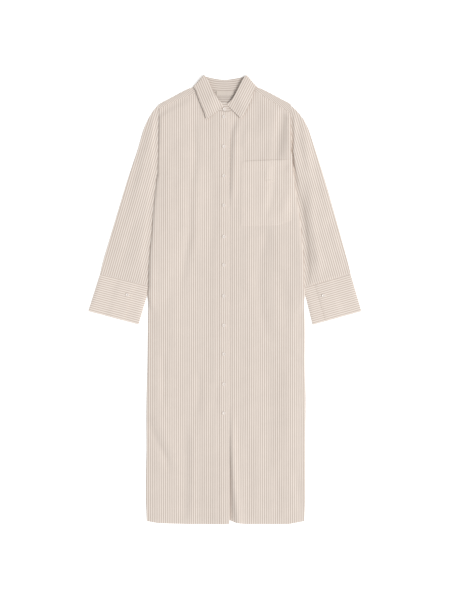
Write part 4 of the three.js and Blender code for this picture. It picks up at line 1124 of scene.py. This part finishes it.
hem_paths = []
for side, first in (("right", -8.0), ("left", 20.0)):
    out = np.linspace(first, hem_out[side] - 4, 60)
    hem_paths.append(on_front(side, sign[side] * out, np.interp(out, *hem_line[side]) + 46))
stitch_run("hem_stitches", hem_paths)

seam_paths = []
for side in sign:
    out = np.linspace(78, 196, 50)
    x, y = sign[side] * out, front_top(side, out) + 0.6
    seam_paths.append(np.column_stack([x, y, level(1, x, y) + WALL + 0.62]))
    y = np.linspace(armhole[side][3] + 6, armhole[side][1] - 22, 60)
    seam_paths.append(on_front(side, sign[side] * (edge_out(side, y) - 7), y))
stitch_run("seam_stitches", seam_paths)


def on_pocket(stops, counts, layer=2):
    # A run of stitches on the pocket or its tab, through these places.
    legs = [np.linspace(a, b, n) for a, b, n in zip(stops, stops[1:], counts)]
    x, y = np.vstack(legs).astype(float).T
    swell = pocket_swell((x - 48) / 150, (y - 226) / 192) if layer == 2 else 0.3
    return np.column_stack([x, y, patch_height(layer, x, y) + swell + 0.1])


pocket_corners = np.array([(49, 415.5), (47, 222), (158, 223.5), (199, 238), (197.5, 421)], float)
inward = np.sign(pocket_corners.mean(axis=0) - pocket_corners)
stitch_run("pocket_stitches", [
    on_pocket(pocket_corners + inward * 2.2, (40, 40, 40, 40)),
    on_pocket([(51, 392), (195, 397)], [50]),
    on_pocket([(120, 417), (120, 354.5), (151, 355.5), (151, 418)], (20, 12, 20), 3)])
stitch_run("tab_bar_stitches", [on_pocket([(120, 358.5), (151, 359.5)], [12], 3)],
           pitch=0.6, length=0.8, thread=1.8)

LAP_STITCH = 108                # the row beside the cuff's lapping end


def on_cuff(side, share, first, last, count):
    # A run of stitches across a cuff at this share of its depth, between two places.
    start, along, width = cuff_line(side, share)
    w = np.linspace(first, min(last, width - 4), count)
    rise = WALL / 2 + PLY + PLY * ease((w - 50) / 21.0) * (w < CUFF_LAP)
    z = rise + cuff_loft(w, width, share) + 0.6
    return np.column_stack([start + along * w[:, None], z])


cuff_paths = []
for side in sign:
    for share, first, last in ((0.05, 4, 110), (0.95, 4, 110), (0.05, 114, 142), (0.95, 114, 150)):
        cuff_paths.append(on_cuff(side, share, first, last, 40))
    cuff_paths.append(np.vstack([on_cuff(side, share, LAP_STITCH, LAP_STITCH, 1)
                                 for share in np.linspace(0.05, 0.95, 24)]))
stitch_run("cuff_stitches", cuff_paths)

fall_top = np.array(fall_outer) + (0, 0, 0.12)
stitch_run("collar_stitches", [fall_top[:, 14], fall_top[2, 6:15], fall_top[-3, 6:15]])


# Table and studio: a plain near-white table, one large soft light above it and a pale room, seen
# from straight above with the dress's length up the picture.
scene = bpy.context.scene
table_mesh = bpy.data.meshes.new("table")
table_mesh.from_pydata([(-4, -4, -0.0006), (4, -4, -0.0006), (4, 4, -0.0006), (-4, 4, -0.0006)],
                       [], [(0, 1, 2, 3)])
table = placed("table", table_mesh)
table_mesh.materials.append(new_material("table white", {
    "Base Color": (0.92, 0.92, 0.92, 1), "Roughness": 0.9, "Specular IOR Level": 0.1,
    "Emission Color": (1, 1, 1, 1), "Emission Strength": 0.35})[0])

key = bpy.data.lights.new("key", "SUN")
key.energy = 2.1
key.angle = 0.6
holder = placed("key", key)
holder.rotation_euler = (math.radians(12), math.radians(33), 0)

room = bpy.data.worlds.new("pale room")
room.use_nodes = True
feed(room.node_tree, room.node_tree.nodes["Background"], {"Color": (1, 1, 1, 1), "Strength": 0.48})
scene.world = room
scene.view_settings.view_transform = "Standard"
scene.view_settings.look = "None"

CAMERA_HEIGHT = 5.0
VIEW_LENGTH = 1.8               # how much of the table the picture's height shows, in metres
eye = bpy.data.cameras.new("camera")
eye.sensor_fit = "VERTICAL"
eye.sensor_height = 24.0
eye.lens = eye.sensor_height * CAMERA_HEIGHT / VIEW_LENGTH
camera = placed("camera", eye)
camera.location = (0, 0, CAMERA_HEIGHT)
scene.camera = camera
